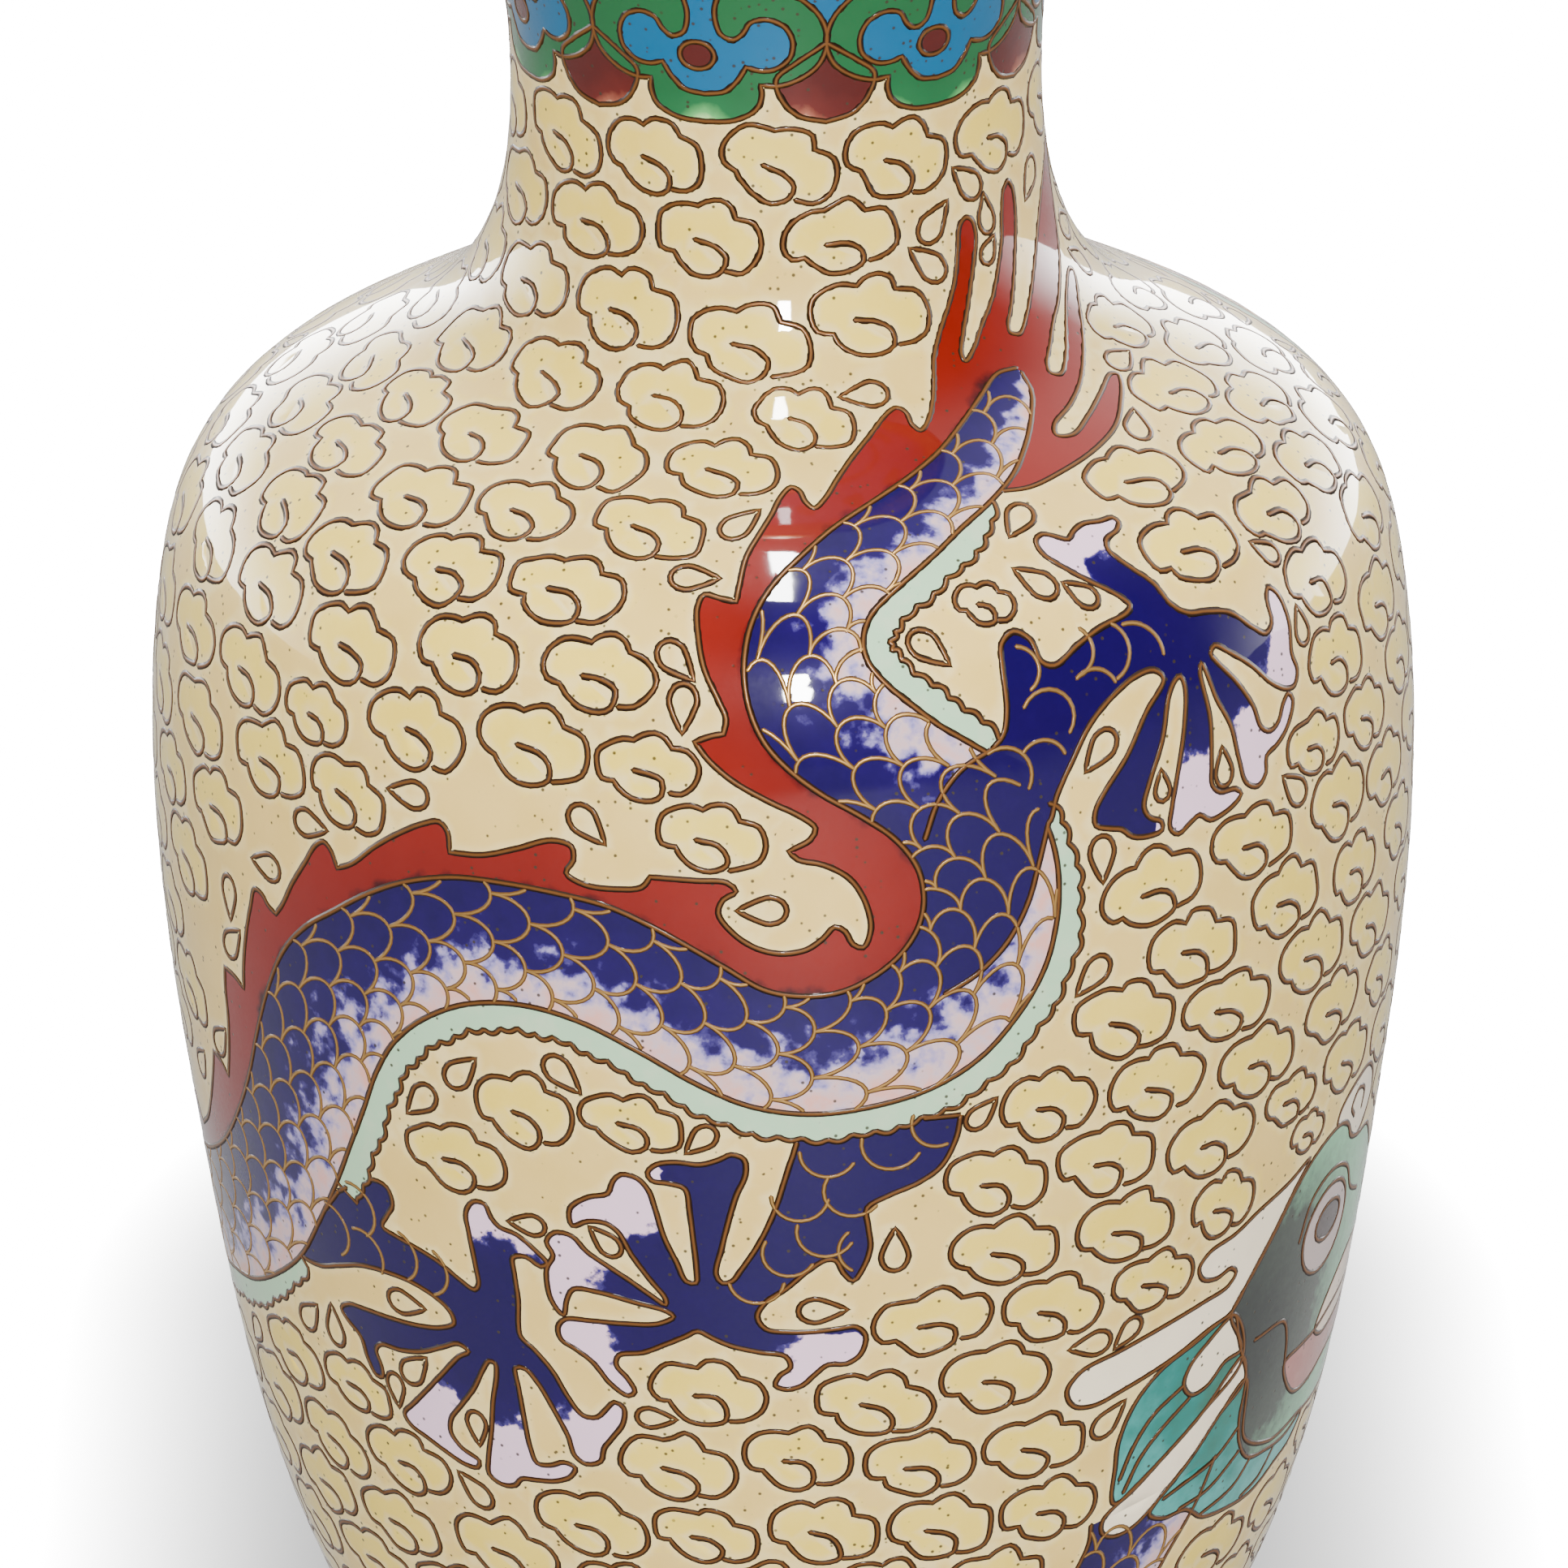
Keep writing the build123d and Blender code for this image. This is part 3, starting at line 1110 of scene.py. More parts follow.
        edge = np.vstack([line[:1], outer, line[-1:]])
        picture.wire(edge, self.group + "_outline_wires")


@dataclass
class Limb:
    """A leg with its five-clawed paw, as one outline. The enamel pales towards the claws."""

    strokes: tuple[Stroke, ...]
    palm: Point
    thigh: Point
    pale: tuple[float, float] = (8.2, 12.5)
    scales: tuple[tuple[Point, float, float, float], ...] = ()

    def draw(self, picture: Picture, group: str, pose: "Pose | None" = None) -> None:
        """Lays the outline and fills it."""
        outline = chain(self.strokes, 0.5)
        palm, thigh = np.array([self.palm]), np.array([self.thigh])
        if pose:
            outline, palm, thigh = pose.move(outline), pose.move(palm), pose.move(thigh)
        palm, thigh = palm[0], thigh[0]
        away = (thigh - palm) / np.linalg.norm(thigh - palm)
        unit = pose.size if pose else 1.0

        def pallor(points: np.ndarray) -> np.ndarray:
            """0 in the palm and leg, 1 at the claws."""
            reach = np.linalg.norm(points - palm, axis=1)
            back = (points - palm) @ away
            pale = (reach / unit - self.pale[0]) / (self.pale[1] - self.pale[0])
            return np.where(back > 0.55 * reach, 0.0, np.clip(pale, 0, 1))

        picture.cell(outline, Enamel.PAW, group + "_outline_wires", shade=pallor)
        for centre, radius, start, end in self.scales:
            angle = np.radians(np.linspace(start, end, 12))
            arc = np.array(centre) + radius * np.stack([np.cos(angle), np.sin(angle)], 1)
            picture.wire(pose.move(arc) if pose else arc, group + "_scale_wires")


@dataclass
class Pose:
    """Moves a shape on the pattern: mirrored or not, sized and turned about a point, then moved."""

    about: Point
    to: Point
    turn: float = 0.0
    size: float = 1.0
    mirror: bool = False

    def move(self, points: np.ndarray) -> np.ndarray:
        """The moved points."""
        local = (np.asarray(points, float) - np.array(self.about)) * self.size
        if self.mirror:
            local = local * np.array([-1.0, 1.0])
        return turned(local, self.turn) + np.array(self.to)


FRONT_RIBS = (
    ((38.6, 58.4), (39, 57.4)),
    ((34.5, 58.3), (38.2, 54)),
    ((30, 55.5), (35, 50)),
    ((25, 51.8), (31.2, 46)),
    ((20, 47.8), (27.3, 42.3)),
    ((15, 44.4), (23, 39.2)),
    ((10, 41.2), (18.5, 36.3)),
    ((5.5, 38), (14.5, 33.2)),
    ((2, 34.5), (10.5, 30.2)),
    ((-0.9, 31), (7.9, 27.9)),
    ((-2.6, 27.5), (6.9, 25.7)),
    ((-3.2, 24), (7.1, 23.7)),
    ((-2.9, 20.7), (8.4, 21.8)),
    ((-1.8, 17.8), (10.4, 19.9)),
    ((0, 15.5), (12.6, 18)),
    ((2.8, 13.2), (14.9, 16.4)),
    ((6, 11.2), (17, 14.8)),
    ((8.6, 9.2), (19, 12.6)),
    ((10.3, 6.8), (20.6, 9.8)),
    ((10.8, 4.2), (21.6, 6.8)),
    ((10.3, 1.8), (21.9, 3.8)),
    ((8.8, -0.4), (21.6, 0.4)),
    ((6.6, -2.1), (20.6, -3)),
    ((4, -3.2), (18.6, -6.3)),
    ((1, -3.4), (15.4, -9.7)),
    ((-1.8, -2.8), (11.5, -11.9)),
    ((-4.6, -1.1), (7, -13.1)),
    ((-7.5, 0.6), (2, -13.6)),
    ((-10.6, 2.2), (-2.8, -12.9)),
    ((-14, 3.5), (-7, -11.1)),
    ((-18, 4.1), (-11.5, -8.6)),
    ((-22.5, 4.3), (-16.2, -6.5)),
    ((-27, 4), (-21, -5.7)),
    ((-31.5, 2.7), (-25.8, -6.4)),
    ((-35.5, 0.7), (-30, -8.5)),
    ((-39, -1.6), (-33.2, -11.3)),
    ((-42.5, -4), (-35.4, -14.6)),
    ((-45.5, -7), (-37.2, -18.4)),
    ((-48, -11), (-39.2, -22.2)),
    ((-50.3, -15.5), (-41.6, -26.5)),
    ((-53, -20.8), (-44.6, -31)),
    ((-56.5, -25.5), (-48.6, -36)),
    ((-60.5, -29.3), (-54, -39.9)),
    ((-65, -32), (-60, -42.8)),
    ((-70, -34), (-67, -44.6)),
    ((-76, -35.4), (-74.5, -46.4)),
    ((-84, -36), (-84.5, -47)),
    ((-92.5, -34.4), (-95.5, -45)),
    ((-99.5, -30), (-106, -38.6)),
    ((-103.8, -23), (-114, -28.6)),
    ((-105.4, -14.6), (-117, -16.6)),
    ((-104.4, -5.6), (-115.4, -4)),
    ((-101.6, 3), (-111.6, 7)),
)

FRONT_MANE = (
    (
        (24.5, 40.3), (28, 40), (33, 41), (39, 42.5), (45, 44.6), (50, 47.6), (53, 49.6), (54.2, 50.9),
        (53.2, 51.5), (48, 49.7), (43, 47.5), (38.2, 45.6), (36.3, 46.3), (37.3, 47.9), (42, 50), (47, 52.6),
        (52, 55.8), (57, 59.3), (62, 63.3), (65.6, 66), (66.4, 67.4), (65.2, 68), (60, 65.6), (54, 61.2),
        (49, 57.2), (45.2, 55), (43.8, 55.8), (44.4, 57.2), (48, 60), (52, 62.9), (56, 65.1), (60, 67.9),
        (64, 71), (68, 75), (72, 80), (75.5, 86), (76.6, 90.5), (75, 90.3), (72, 88), (68, 85.4), (62, 80.5),
        (57, 75.5), (51, 69.6), (46, 65.2), (43, 63.3), (41.3, 64.1), (41.6, 65.3), (44, 68), (47, 72),
        (50, 77), (52, 81), (53, 85), (52.8, 87.8), (51.5, 89.3), (49.6, 88), (48.3, 84.5), (46.5, 79),
        (44, 75), (40.5, 70.5), (36, 66.4), (32.6, 63), (30.6, 61.7), (30.4, 62.9), (32, 66), (34.5, 70),
        (37, 74.5), (39, 78.5), (40.2, 82), (39.8, 84.8), (38.3, 85.8), (36.5, 84.6), (35.3, 80.5),
        (33.5, 75.5), (31, 71.5), (28, 67.5), (25.5, 63.5), (24, 59.5), (22.8, 56.8), (20.6, 53.2), (19, 51.8),
        (18.2, 53), (18, 55.2), (16.9, 56.2), (15, 55.2), (12, 52), (9, 48.5), (6.6, 45), (5, 42.3),
        (3.6, 40.8), (2.7, 41.8), (2.1, 43.5), (1.2, 44.1), (0, 42.6), (-1, 40), (-2.2, 37.3), (-3.4, 34.3),
        (-3.9, 31), (-4.1, 29.4),
    ),
    ((-5.6, 29.7), (-7, 30), (-7.5, 28.8), (-7.2, 26), (-6.5, 23.2), (-5.3, 20.8), (-4.6, 19.2), (-4.8, 18)),
    ((-5.8, 17.8), (-7.1, 17.3)),
    ((-6, 15.9), (-4, 14.2), (-1, 12.5), (1.2, 11.4), (2.4, 10.4), (2, 9.5), (0.3, 8.6)),
    (
        (1, 7.9), (3, 7.4), (5, 6.2), (6.2, 4.2), (6.6, 2), (6, 0.5), (5.2, 0.8), (4.6, 1.9), (3.8, 2.3),
        (2.9, 1.4), (1.6, 0.5), (-0.5, 0.2), (-2.6, 0.8), (-4.3, 2.1), (-5.2, 3.5), (-4.8, 4.6), (-3.8, 5.3),
        (-4.5, 6), (-7, 6.1), (-10.5, 6.2),
    ),
    (
        (-11.2, 5.3), (-13, 5), (-15.8, 5.1), (-17.3, 5.9), (-16.7, 7), (-16.9, 8.1), (-18.5, 8.4),
        (-21.5, 7.3), (-24.5, 6.3), (-27.4, 6),
    ),
    ((-27.6, 7.6), (-28.4, 8.3), (-30, 7.8), (-32, 6.7), (-34.5, 5), (-37, 2.9), (-38.6, 2.1)),
    ((-39.2, 3.3), (-40.1, 3.9), (-41.1, 3.3), (-42.2, 1.7), (-44, -0.8), (-45.2, -2.8), (-46.2, -4)),
    ((-47.2, -3.6), (-48, -2.9), (-49.1, -2.8), (-49.8, -4.5), (-50.7, -7), (-51.5, -10), (-51.9, -12.4)),
    ((-53.3, -11.8), (-55, -11.6)),
    ((-55.3, -13.5), (-55.4, -16), (-56, -19), (-57.1, -22.2)),
    ((-58.3, -21.3), (-59.9, -21)),
    ((-60.8, -23), (-63, -26.5), (-65.5, -29.3), (-69, -31.4)),
    ((-70, -30.4), (-71.5, -29.6), (-74, -30.6), (-79, -32.6), (-84, -32.4)),
    ((-85.2, -30.8), (-87, -30), (-90, -30.6), (-94.5, -29), (-97.5, -25.8)),
    ((-96.6, -23.6), (-97.2, -21.6), (-99.6, -19.4), (-101, -14), (-100.8, -9.4)),
    ((-99.2, -8.6), (-98.6, -6.8), (-99.6, -3), (-99.2, 1), (-97.4, 4.4)),
)

LEG_A = Limb(
    (
        (
            (16.8, 15.6), (17.8, 16.6), (18.3, 18.5), (18.4, 22), (18.7, 24), (20, 24.9), (21.3, 24),
            (21.9, 22), (23, 21.5), (25.5, 22.8), (28, 23.8), (31, 24.5), (31.5, 25), (30.5, 26.3), (28.5, 28),
            (26.5, 30), (25.2, 31.8), (25.3, 33.3), (26.3, 33.8), (27.5, 33.2), (28.5, 32.6), (29.5, 33.3),
            (31, 33.9), (33, 33.7), (34.5, 33.7), (34.8, 33), (34, 32.2), (32.4, 31.6), (31.9, 30.5),
            (33, 28.5), (34.7, 26.3), (35.6, 24.1), (37, 23), (39, 22.6), (41.5, 21.8), (43.5, 20), (45, 19),
            (46, 19.6), (46.2, 21.5), (46.9, 22.4), (47.8, 21.6), (48.2, 19), (47.7, 16.5), (48.1, 15),
            (47.5, 13.9), (46.4, 13.9), (44.5, 15), (42.5, 17), (40.2, 18.8), (38.8, 19.7), (38.2, 19.2),
            (38.9, 18.1), (40.5, 16.2), (42, 13.8), (42.7, 11.8), (43.8, 11.2), (44.9, 11.7), (45.6, 12.8),
            (46.5, 13.5), (47, 12.8), (46, 11), (44.5, 9.9), (43, 9.3), (42.8, 8), (41.8, 7.2), (40.4, 7.9),
            (39.8, 10), (39.2, 13), (38, 15.5), (37.3, 18), (37, 18.7), (36.7, 18), (37.1, 14), (36.8, 10.5),
            (36.7, 8.7), (37.5, 7.9), (39.2, 7.7), (39.8, 7.1), (39, 6.5), (37.5, 6), (36.3, 5.9), (35.2, 6.6),
            (34.2, 6.2), (33, 5.6), (32.2, 6.3), (32.5, 8), (33.4, 11), (34.3, 14), (34.9, 17.3), (34.6, 18.2),
            (34, 18), (33.2, 17), (32, 13.5), (30.5, 10.5), (29.8, 8.6), (30.3, 7.6), (31.4, 7), (31.4, 6.3),
            (30, 6.1), (28.6, 6.4), (27.6, 7.2), (26.5, 7.5), (25.3, 8), (25.3, 9.1), (26.2, 10.5), (28.5, 13),
            (30.8, 16.2), (32.9, 18.4), (32.1, 19.3), (30.3, 19.2), (28, 18.2), (25.5, 16.3), (23.5, 13.5),
            (22, 11), (21.2, 9), (19, 12), (16.8, 15.6),
        ),
    ),
    palm=(35.5, 21.5),
    thigh=(20.0, 17.0),
    pale=(7.6, 12.0),
    scales=(
        ((19.6, 21.6), 2, -60, 80),
        ((24.6, 22.4), 2.2, -80, 50),
        ((27.6, 21.8), 2.6, -70, 55),
        ((30.4, 20.6), 3, -5, 95),
        ((21.8, 17.4), 2.3, -40, 150),
        ((26.2, 18.4), 2.2, 20, 130),
        ((17.6, 13.2), 2.4, -30, 120),
        ((21, 13.6), 2.1, 20, 140),
    ),
)

LEG_B = Limb(
    (
        (
            (13.8, -14.6), (13.5, -16.5), (12.3, -19), (10.5, -20.3), (8, -21.3), (6.3, -22.3), (6.4, -24),
            (6.6, -26), (6, -28), (5.2, -29.1), (4.4, -28.3), (3.8, -27.1), (3, -27), (1.5, -28), (-0.3, -29.7),
            (-2, -31), (-2.7, -32.4), (-2, -33.6), (0, -33.9), (2, -33.9), (4, -33.7), (5.5, -33.6),
            (6.3, -34.5), (5.9, -36.3), (4.7, -37.2), (3.2, -37.2), (2, -38.2), (1, -39.2), (-0.3, -39.6),
            (-1.3, -39.2), (-0.9, -38.2), (0, -37.4), (-0.4, -36.3), (-2.5, -35.9), (-5, -35.3), (-6.5, -34.6),
            (-7.7, -34), (-8.8, -34.6), (-10.5, -35.5), (-12.5, -36.5), (-14.6, -37), (-14.9, -38),
            (-14, -39.2), (-13.4, -40.5), (-14, -41), (-15.5, -40), (-17, -38), (-18.5, -36.9), (-19.7, -36.2),
            (-19.9, -35), (-19.2, -34.1), (-17, -33.9), (-14, -33.8), (-11, -33.5), (-9.7, -32.7),
            (-10.3, -32.2), (-13, -31.6), (-16, -31), (-18.2, -31), (-18.9, -32.2), (-19.3, -33.7),
            (-20.3, -32.4), (-20.5, -29.5), (-19.8, -28), (-20.3, -26.8), (-19.5, -25.8), (-18, -25.9),
            (-16.8, -27.2), (-15.3, -28.2), (-13.3, -29.5), (-11.5, -30.8), (-10.3, -31.6), (-10.3, -31),
            (-11.5, -29.3), (-13, -27), (-14, -25), (-15, -24.3), (-16.5, -24.3), (-17.9, -24.9), (-18, -23.3),
            (-16.3, -22), (-14.7, -21.5), (-14.2, -20.3), (-13.5, -19.6), (-12.2, -19.8), (-11.3, -20.8),
            (-10.8, -22.5), (-10.2, -25), (-9.2, -27.5), (-8.5, -29.2), (-7.7, -29.3), (-7.6, -28), (-7.8, -25),
            (-8, -22.5), (-8.3, -20.5), (-9.5, -20.1), (-11, -19.9), (-11.3, -19.2), (-10.5, -18.4),
            (-9, -18.1), (-7, -18.2), (-5.5, -17.7), (-4.5, -17.2), (-3.5, -17.6), (-3.4, -19), (-4.2, -21),
            (-4.9, -23.5), (-5.5, -26), (-6, -28.4), (-5.5, -29.2), (-4.7, -29), (-4, -28), (-2.5, -25.5),
            (-1.2, -22.5), (-0.3, -19.5), (0.3, -17.5), (1.4, -15), (7, -14.6), (13.8, -14.6),
        ),
    ),
    palm=(-7.6, -31.8),
    thigh=(5.0, -19.0),
    pale=(6.0, 11.0),
    scales=(
        ((3.2, -17), 2.3, 180, 330),
        ((8.3, -16.4), 2.5, 170, 330),
        ((12, -15), 2.2, 160, 290),
        ((5.2, -20.6), 2.4, 150, 320),
        ((0.9, -21), 2.3, 180, 350),
        ((3, -24.3), 2.4, 165, 330),
        ((6.2, -26.2), 2.2, 130, 240),
        ((0, -26.3), 2.2, 150, 330),
        ((-2.7, -28.8), 2.3, 190, 350),
    ),
)

LEG_C = Limb(
    (
        (
            (-41.6, -27.4), (-39, -25.8), (-37, -24.9), (-35.6, -25.2), (-35.2, -26.7), (-36, -28),
            (-36.7, -29.2), (-35, -29.8), (-33, -30.3), (-31, -31), (-29, -32.2), (-27.6, -32.9),
            (-27.1, -32.3), (-27.2, -30.5), (-27.5, -27.5), (-27.6, -25.5), (-26.8, -24.3), (-25.7, -24.3),
            (-25.2, -25.5), (-24.5, -26.2), (-23, -26.6), (-21.5, -27.7), (-20.4, -28.9), (-21, -29.3),
            (-22.3, -28.6), (-23.5, -28.9), (-23.5, -30.5), (-23.4, -33), (-23.6, -35.5), (-23.5, -36.6),
            (-22.3, -37.7), (-20.8, -39.5), (-19.5, -42), (-18.3, -43.6), (-17, -43.6), (-16, -42.5),
            (-15.3, -41.8), (-14.5, -42.3), (-14.7, -44), (-15.7, -45.5), (-16.6, -46.8), (-17, -48.2),
            (-18.4, -48.7), (-19.4, -48), (-19.9, -46), (-21, -43.5), (-22.3, -41), (-23.4, -39.8),
            (-24.3, -39.9), (-24.2, -42), (-24, -45), (-23.7, -48), (-23.2, -49.5), (-22, -49.5),
            (-20.5, -48.9), (-19.5, -49.3), (-20, -50.3), (-21.5, -51.1), (-23.5, -51.4), (-25, -51.6),
            (-25.8, -52.5), (-27.2, -52.7), (-28.4, -51.9), (-28.2, -50), (-27.5, -47), (-27, -44),
            (-26.3, -41), (-26.3, -39.9), (-26.9, -39.8), (-27.5, -40.6), (-28.8, -43), (-30.3, -45),
            (-31.8, -47), (-32, -48.5), (-31, -49.8), (-29.3, -50.7), (-29.6, -51.5), (-31, -51.5),
            (-33, -50.7), (-35, -49.8), (-36.8, -49), (-37.3, -48), (-36, -46.6), (-34, -44.5), (-32, -42.3),
            (-30, -40.1), (-28.9, -39.3), (-29.9, -38.8), (-31.5, -39.5), (-34, -40.7), (-36.5, -41.3),
            (-39, -41.5), (-39.7, -42.3), (-39.3, -43.8), (-39.4, -44.9), (-40.2, -45), (-41, -43.5),
            (-41.5, -41.5), (-43, -40.3), (-43.6, -39.4), (-42.5, -38.6), (-40.5, -38.4), (-37, -38.3),
            (-34, -38.1), (-31.5, -37.6), (-30.1, -36.8), (-30.3, -35.8), (-31.5, -34.8), (-34, -33.9),
            (-37, -33.7), (-40, -34), (-43, -35), (-46, -36), (-48.4, -35.8), (-46, -32.5), (-43, -29),
            (-41.6, -27.4),
        ),
    ),
    palm=(-26.0, -36.5),
    thigh=(-43.0, -31.5),
    pale=(6.6, 11.6),
    scales=(
        ((-43.6, -31.6), 2.5, -60, 90),
        ((-40, -28.6), 2.5, -60, 100),
        ((-39.6, -32.8), 2.4, -30, 110),
        ((-35.8, -31.6), 2.5, -60, 70),
        ((-32.6, -32.2), 2.4, -70, 60),
    ),
)


def dragon_front(picture: Picture) -> None:
    """Draws the dragon whose tail, middle and three legs are at the front."""
    body = Body(FRONT_RIBS, "dragon_one")
    mane = chain(FRONT_MANE, 0.5)
    at = body.places(1, body.last)
    middle = (body.spine.at(at) + body.belly.at(at)) / 2
    tree = tree_of(body.spine.at(body.places(0, body.last, 0.1)))

    def soot(points: np.ndarray) -> np.ndarray:
        """Dark beside the spine, clear red away from it."""
        reach = nearest(tree, points)[1] * picture.surface.shrink(points[:, 1])
        return np.clip(0.3 + reach * 0.22, 0, 1)

    tip = np.array([[27.0, 41.8], [30.5, 45.0]])
    closing = np.vstack([middle[::-1], tip[::-1]])
    picture.cell(np.vstack([mane, closing]), Enamel.MANE, shade=soot)
    picture.wire(mane, "dragon_one_outline_wires")
    for leg in (LEG_B, LEG_C):
        leg.draw(picture, "dragon_one")
    body.draw(picture)
    body.ribbon(picture, 5.0, 15.8, 2.3, (0.2, 0.7))
    body.ribbon(picture, 17.9, 39.0, 2.35, (0.5, 1.1))
    body.ribbon(picture, 41.0, 52.0, 2.35, (0.6, 1.0))
    LEG_A.draw(picture, "dragon_one")
    thigh_back = flow(((21.2, 9.0), (20.3, 6.0), (19.2, 2.6), (17.4, -0.4), (15.0, -2.6), (12.4, -4.0)))
    thigh_front = flow(((16.8, 15.6), (14.2, 14.3), (12.2, 12.0), (11.0, 9.0)))
    thigh = np.vstack([[(20.5, 13.5)], thigh_back, [(12.0, 0.0), (11.5, 5.0)], thigh_front[::-1]])
    picture.hide(thigh)
    picture.cell(thigh, Enamel.PAW)
    for line in (thigh_back, thigh_front):
        picture.wire(line, "dragon_one_outline_wires")


    LEG_B.draw(picture, "dragon_one", Pose((7.0, -14.6), (-115.6, -14.0), turn=-52))
    HEAD.draw(picture, "dragon_one", Pose((39.0, -60.0), (-106.0, 6.0), mirror=True))


BACK_RIBS = (
    ((29, -58.5), (44, -56)), ((29, -61), (42.5, -60.5)), ((27.5, -66), (39, -67.5)),
    ((28, -72), (38.5, -73.5)),
    ((31, -79), (41, -76.5)), ((38, -86), (46, -79)), ((48, -91), (53, -81.5)),
    ((60, -93), (61, -83)), ((72, -91), (70, -81.5)), ((84, -85), (78.5, -77)),
    ((95, -75), (87, -69)), ((104, -62), (95, -57.5)), ((109, -47), (99.5, -45.5)),
    ((109, -33), (99.5, -34)), ((105, -20), (96, -24)), ((99.5, -9), (90.5, -13)),
    ((96, 3), (86.5, 2)), ((98, 15), (89, 18.5)), ((104.5, 25.5), (97, 31.5)),
    ((113.5, 33.5), (108, 41)), ((124, 41), (119, 48)), ((133, 52), (128, 56)),
    ((138, 64), (134.5, 65.5)), ((139.5, 72), (138.5, 72.5)),
)


@dataclass
class Head:
    """A dragon's head in profile, with its antler, beard and hair."""

    face: Stroke = (
        (43, -40.8), (45.5, -37.5), (48, -34.5), (50.5, -31.5), (53, -29.5), (56, -28.4), (58.5, -28.3),
        (60, -29), (61.2, -30.6), (63.5, -31.4), (67, -31.8), (69.5, -33.8), (72, -36), (76, -36.6),
        (79.5, -38.6), (80.8, -42), (78.5, -45.6), (77.5, -49), (78.6, -52), (76.5, -55.8), (71.5, -58.2),
        (66, -58.6), (62, -58.5), (58, -59.5), (54, -59.3), (50, -58.5), (47.8, -56), (46.9, -53),
        (46.8, -48.6), (45.4, -45.6), (44.4, -43.4),
    )
    mouth: Stroke = (
        (53.8, -50), (57, -49.5), (60.2, -49.3), (64, -48.6), (70, -48.2), (77.2, -49), (75.5, -51.4),
        (72, -53.2), (66, -54), (61, -55), (57.5, -54.6), (55, -52.5),
    )
    lip: Stroke = (
        (60.2, -49.3), (60.6, -48.3), (62, -46.8), (65, -45), (68, -44), (72, -44), (78.2, -46), (77.2, -49),
        (72, -49.8), (66, -50.6), (62.5, -50.6),
    )
    ear: Stroke = (
        (57.2, -28), (57.4, -27), (58.5, -26.1), (61, -25.2), (64, -25), (66, -26.5), (66.5, -28.5),
        (65, -30.4), (63.4, -31.2), (61.4, -30.6), (60.2, -29.2), (58.7, -28.4),
    )
    antler: Stroke = (
        (52.3, -29.2), (49, -30.3), (45, -31.4), (42, -32.6), (39, -33.3), (37.9, -34.5), (38.5, -35.8),
        (40.3, -36.3), (42, -35.9), (42.8, -36.6), (42, -37.6), (39, -38.2), (35, -39), (30, -40.2),
        (26, -41.3), (24.7, -43), (25.5, -44.7), (27.5, -45.2), (31, -44.3), (36, -42.8), (40, -41.3),
        (43, -40.5), (45.2, -37.6), (47.8, -34.4), (50.2, -31.4),
    )
    short_bar: Stroke = (
        (43.4, -41), (40, -42.8), (38.2, -44.5), (37.8, -46.2), (39, -47.6), (41, -47.3), (43, -45.6),
        (45.2, -45.2), (44.4, -43.2),
    )
    long_bar: Stroke = (
        (45.6, -46), (44, -47), (41, -50), (37, -53), (33, -56), (30.3, -58.3), (30.4, -59.8), (31.8, -60.7),
        (34, -60.4), (37, -58), (40.5, -54.7), (43.5, -51.3), (46.6, -48.8),
    )
    upper_hair: Stroke = (
        (43.4, -41), (38, -42.3), (34.5, -43.8), (32, -46.5), (30.8, -50), (30.8, -52.5), (31.3, -56.8),
        (37, -53), (41, -50), (45.6, -46.4),
    )
    lower_hair: Stroke = (
        (46.8, -48.8), (43.5, -51.3), (40.5, -54.7), (37, -58), (36, -59.5), (38, -60.7), (41, -60.8),
        (44, -62.8), (48, -63.5), (53, -63.5), (57, -62), (60, -61), (62, -58.5), (54, -58.4), (48.4, -55.6),
    )
    strands: tuple[Stroke, ...] = (
        ((37.8, -46.2), (34.5, -48.2), (32.6, -51), (31.5, -54.2)),
        ((38.8, -47.8), (35.6, -50.2), (33.6, -52.5), (32.2, -55.8)),
        ((47, -54), (44, -56.3), (40, -57.5), (37.5, -58.3)),
        ((48, -57), (44, -59.6), (40, -60.4)),
        ((50.6, -58.8), (48.5, -61), (43.6, -62.4)),
        ((55.5, -59.8), (53.5, -62.2), (50.5, -63.2)),
        ((47.2, -45), (52, -45), (53.2, -47), (53.8, -50)),
        ((52.6, -37.4), (54, -33.8), (57.6, -32.4), (61.6, -33.6), (64, -36.6), (67.4, -38.2)),
        ((71.6, -39.6), (73.6, -38.6), (75.6, -39.6), (75.2, -41.6), (73.2, -42)),
        ((61.4, -28.8), (60.4, -27.6), (61.8, -26.4), (63.6, -27.2), (63.4, -28.8)),
    )
    eye: tuple[Point, Point] = ((58.2, -38.1), (4.7, 4.2))
    iris: tuple[Point, Point] = ((58.5, -37.5), (2.7, 1.8))

    def draw(self, picture: Picture, group: str, pose: "Pose | None" = None) -> None:
        """Lays the head, from the hair at the back to the eye on top."""

        def moved(points: np.ndarray) -> np.ndarray:
            """The points where this head has them."""
            return pose.move(points) if pose else points

        nape = moved(np.array([(46.0, -45.0)]))[0]

        def pale(points: np.ndarray) -> np.ndarray:
            """Dark at the nape, pale at the snout."""
            return np.clip((np.linalg.norm(points - nape, axis=1) - 4.0) / 18, 0, 1)

        def thick(points: np.ndarray) -> np.ndarray:
            """Greener next to the head."""
            return np.clip(np.linalg.norm(points - nape, axis=1) / 22, 0, 1)

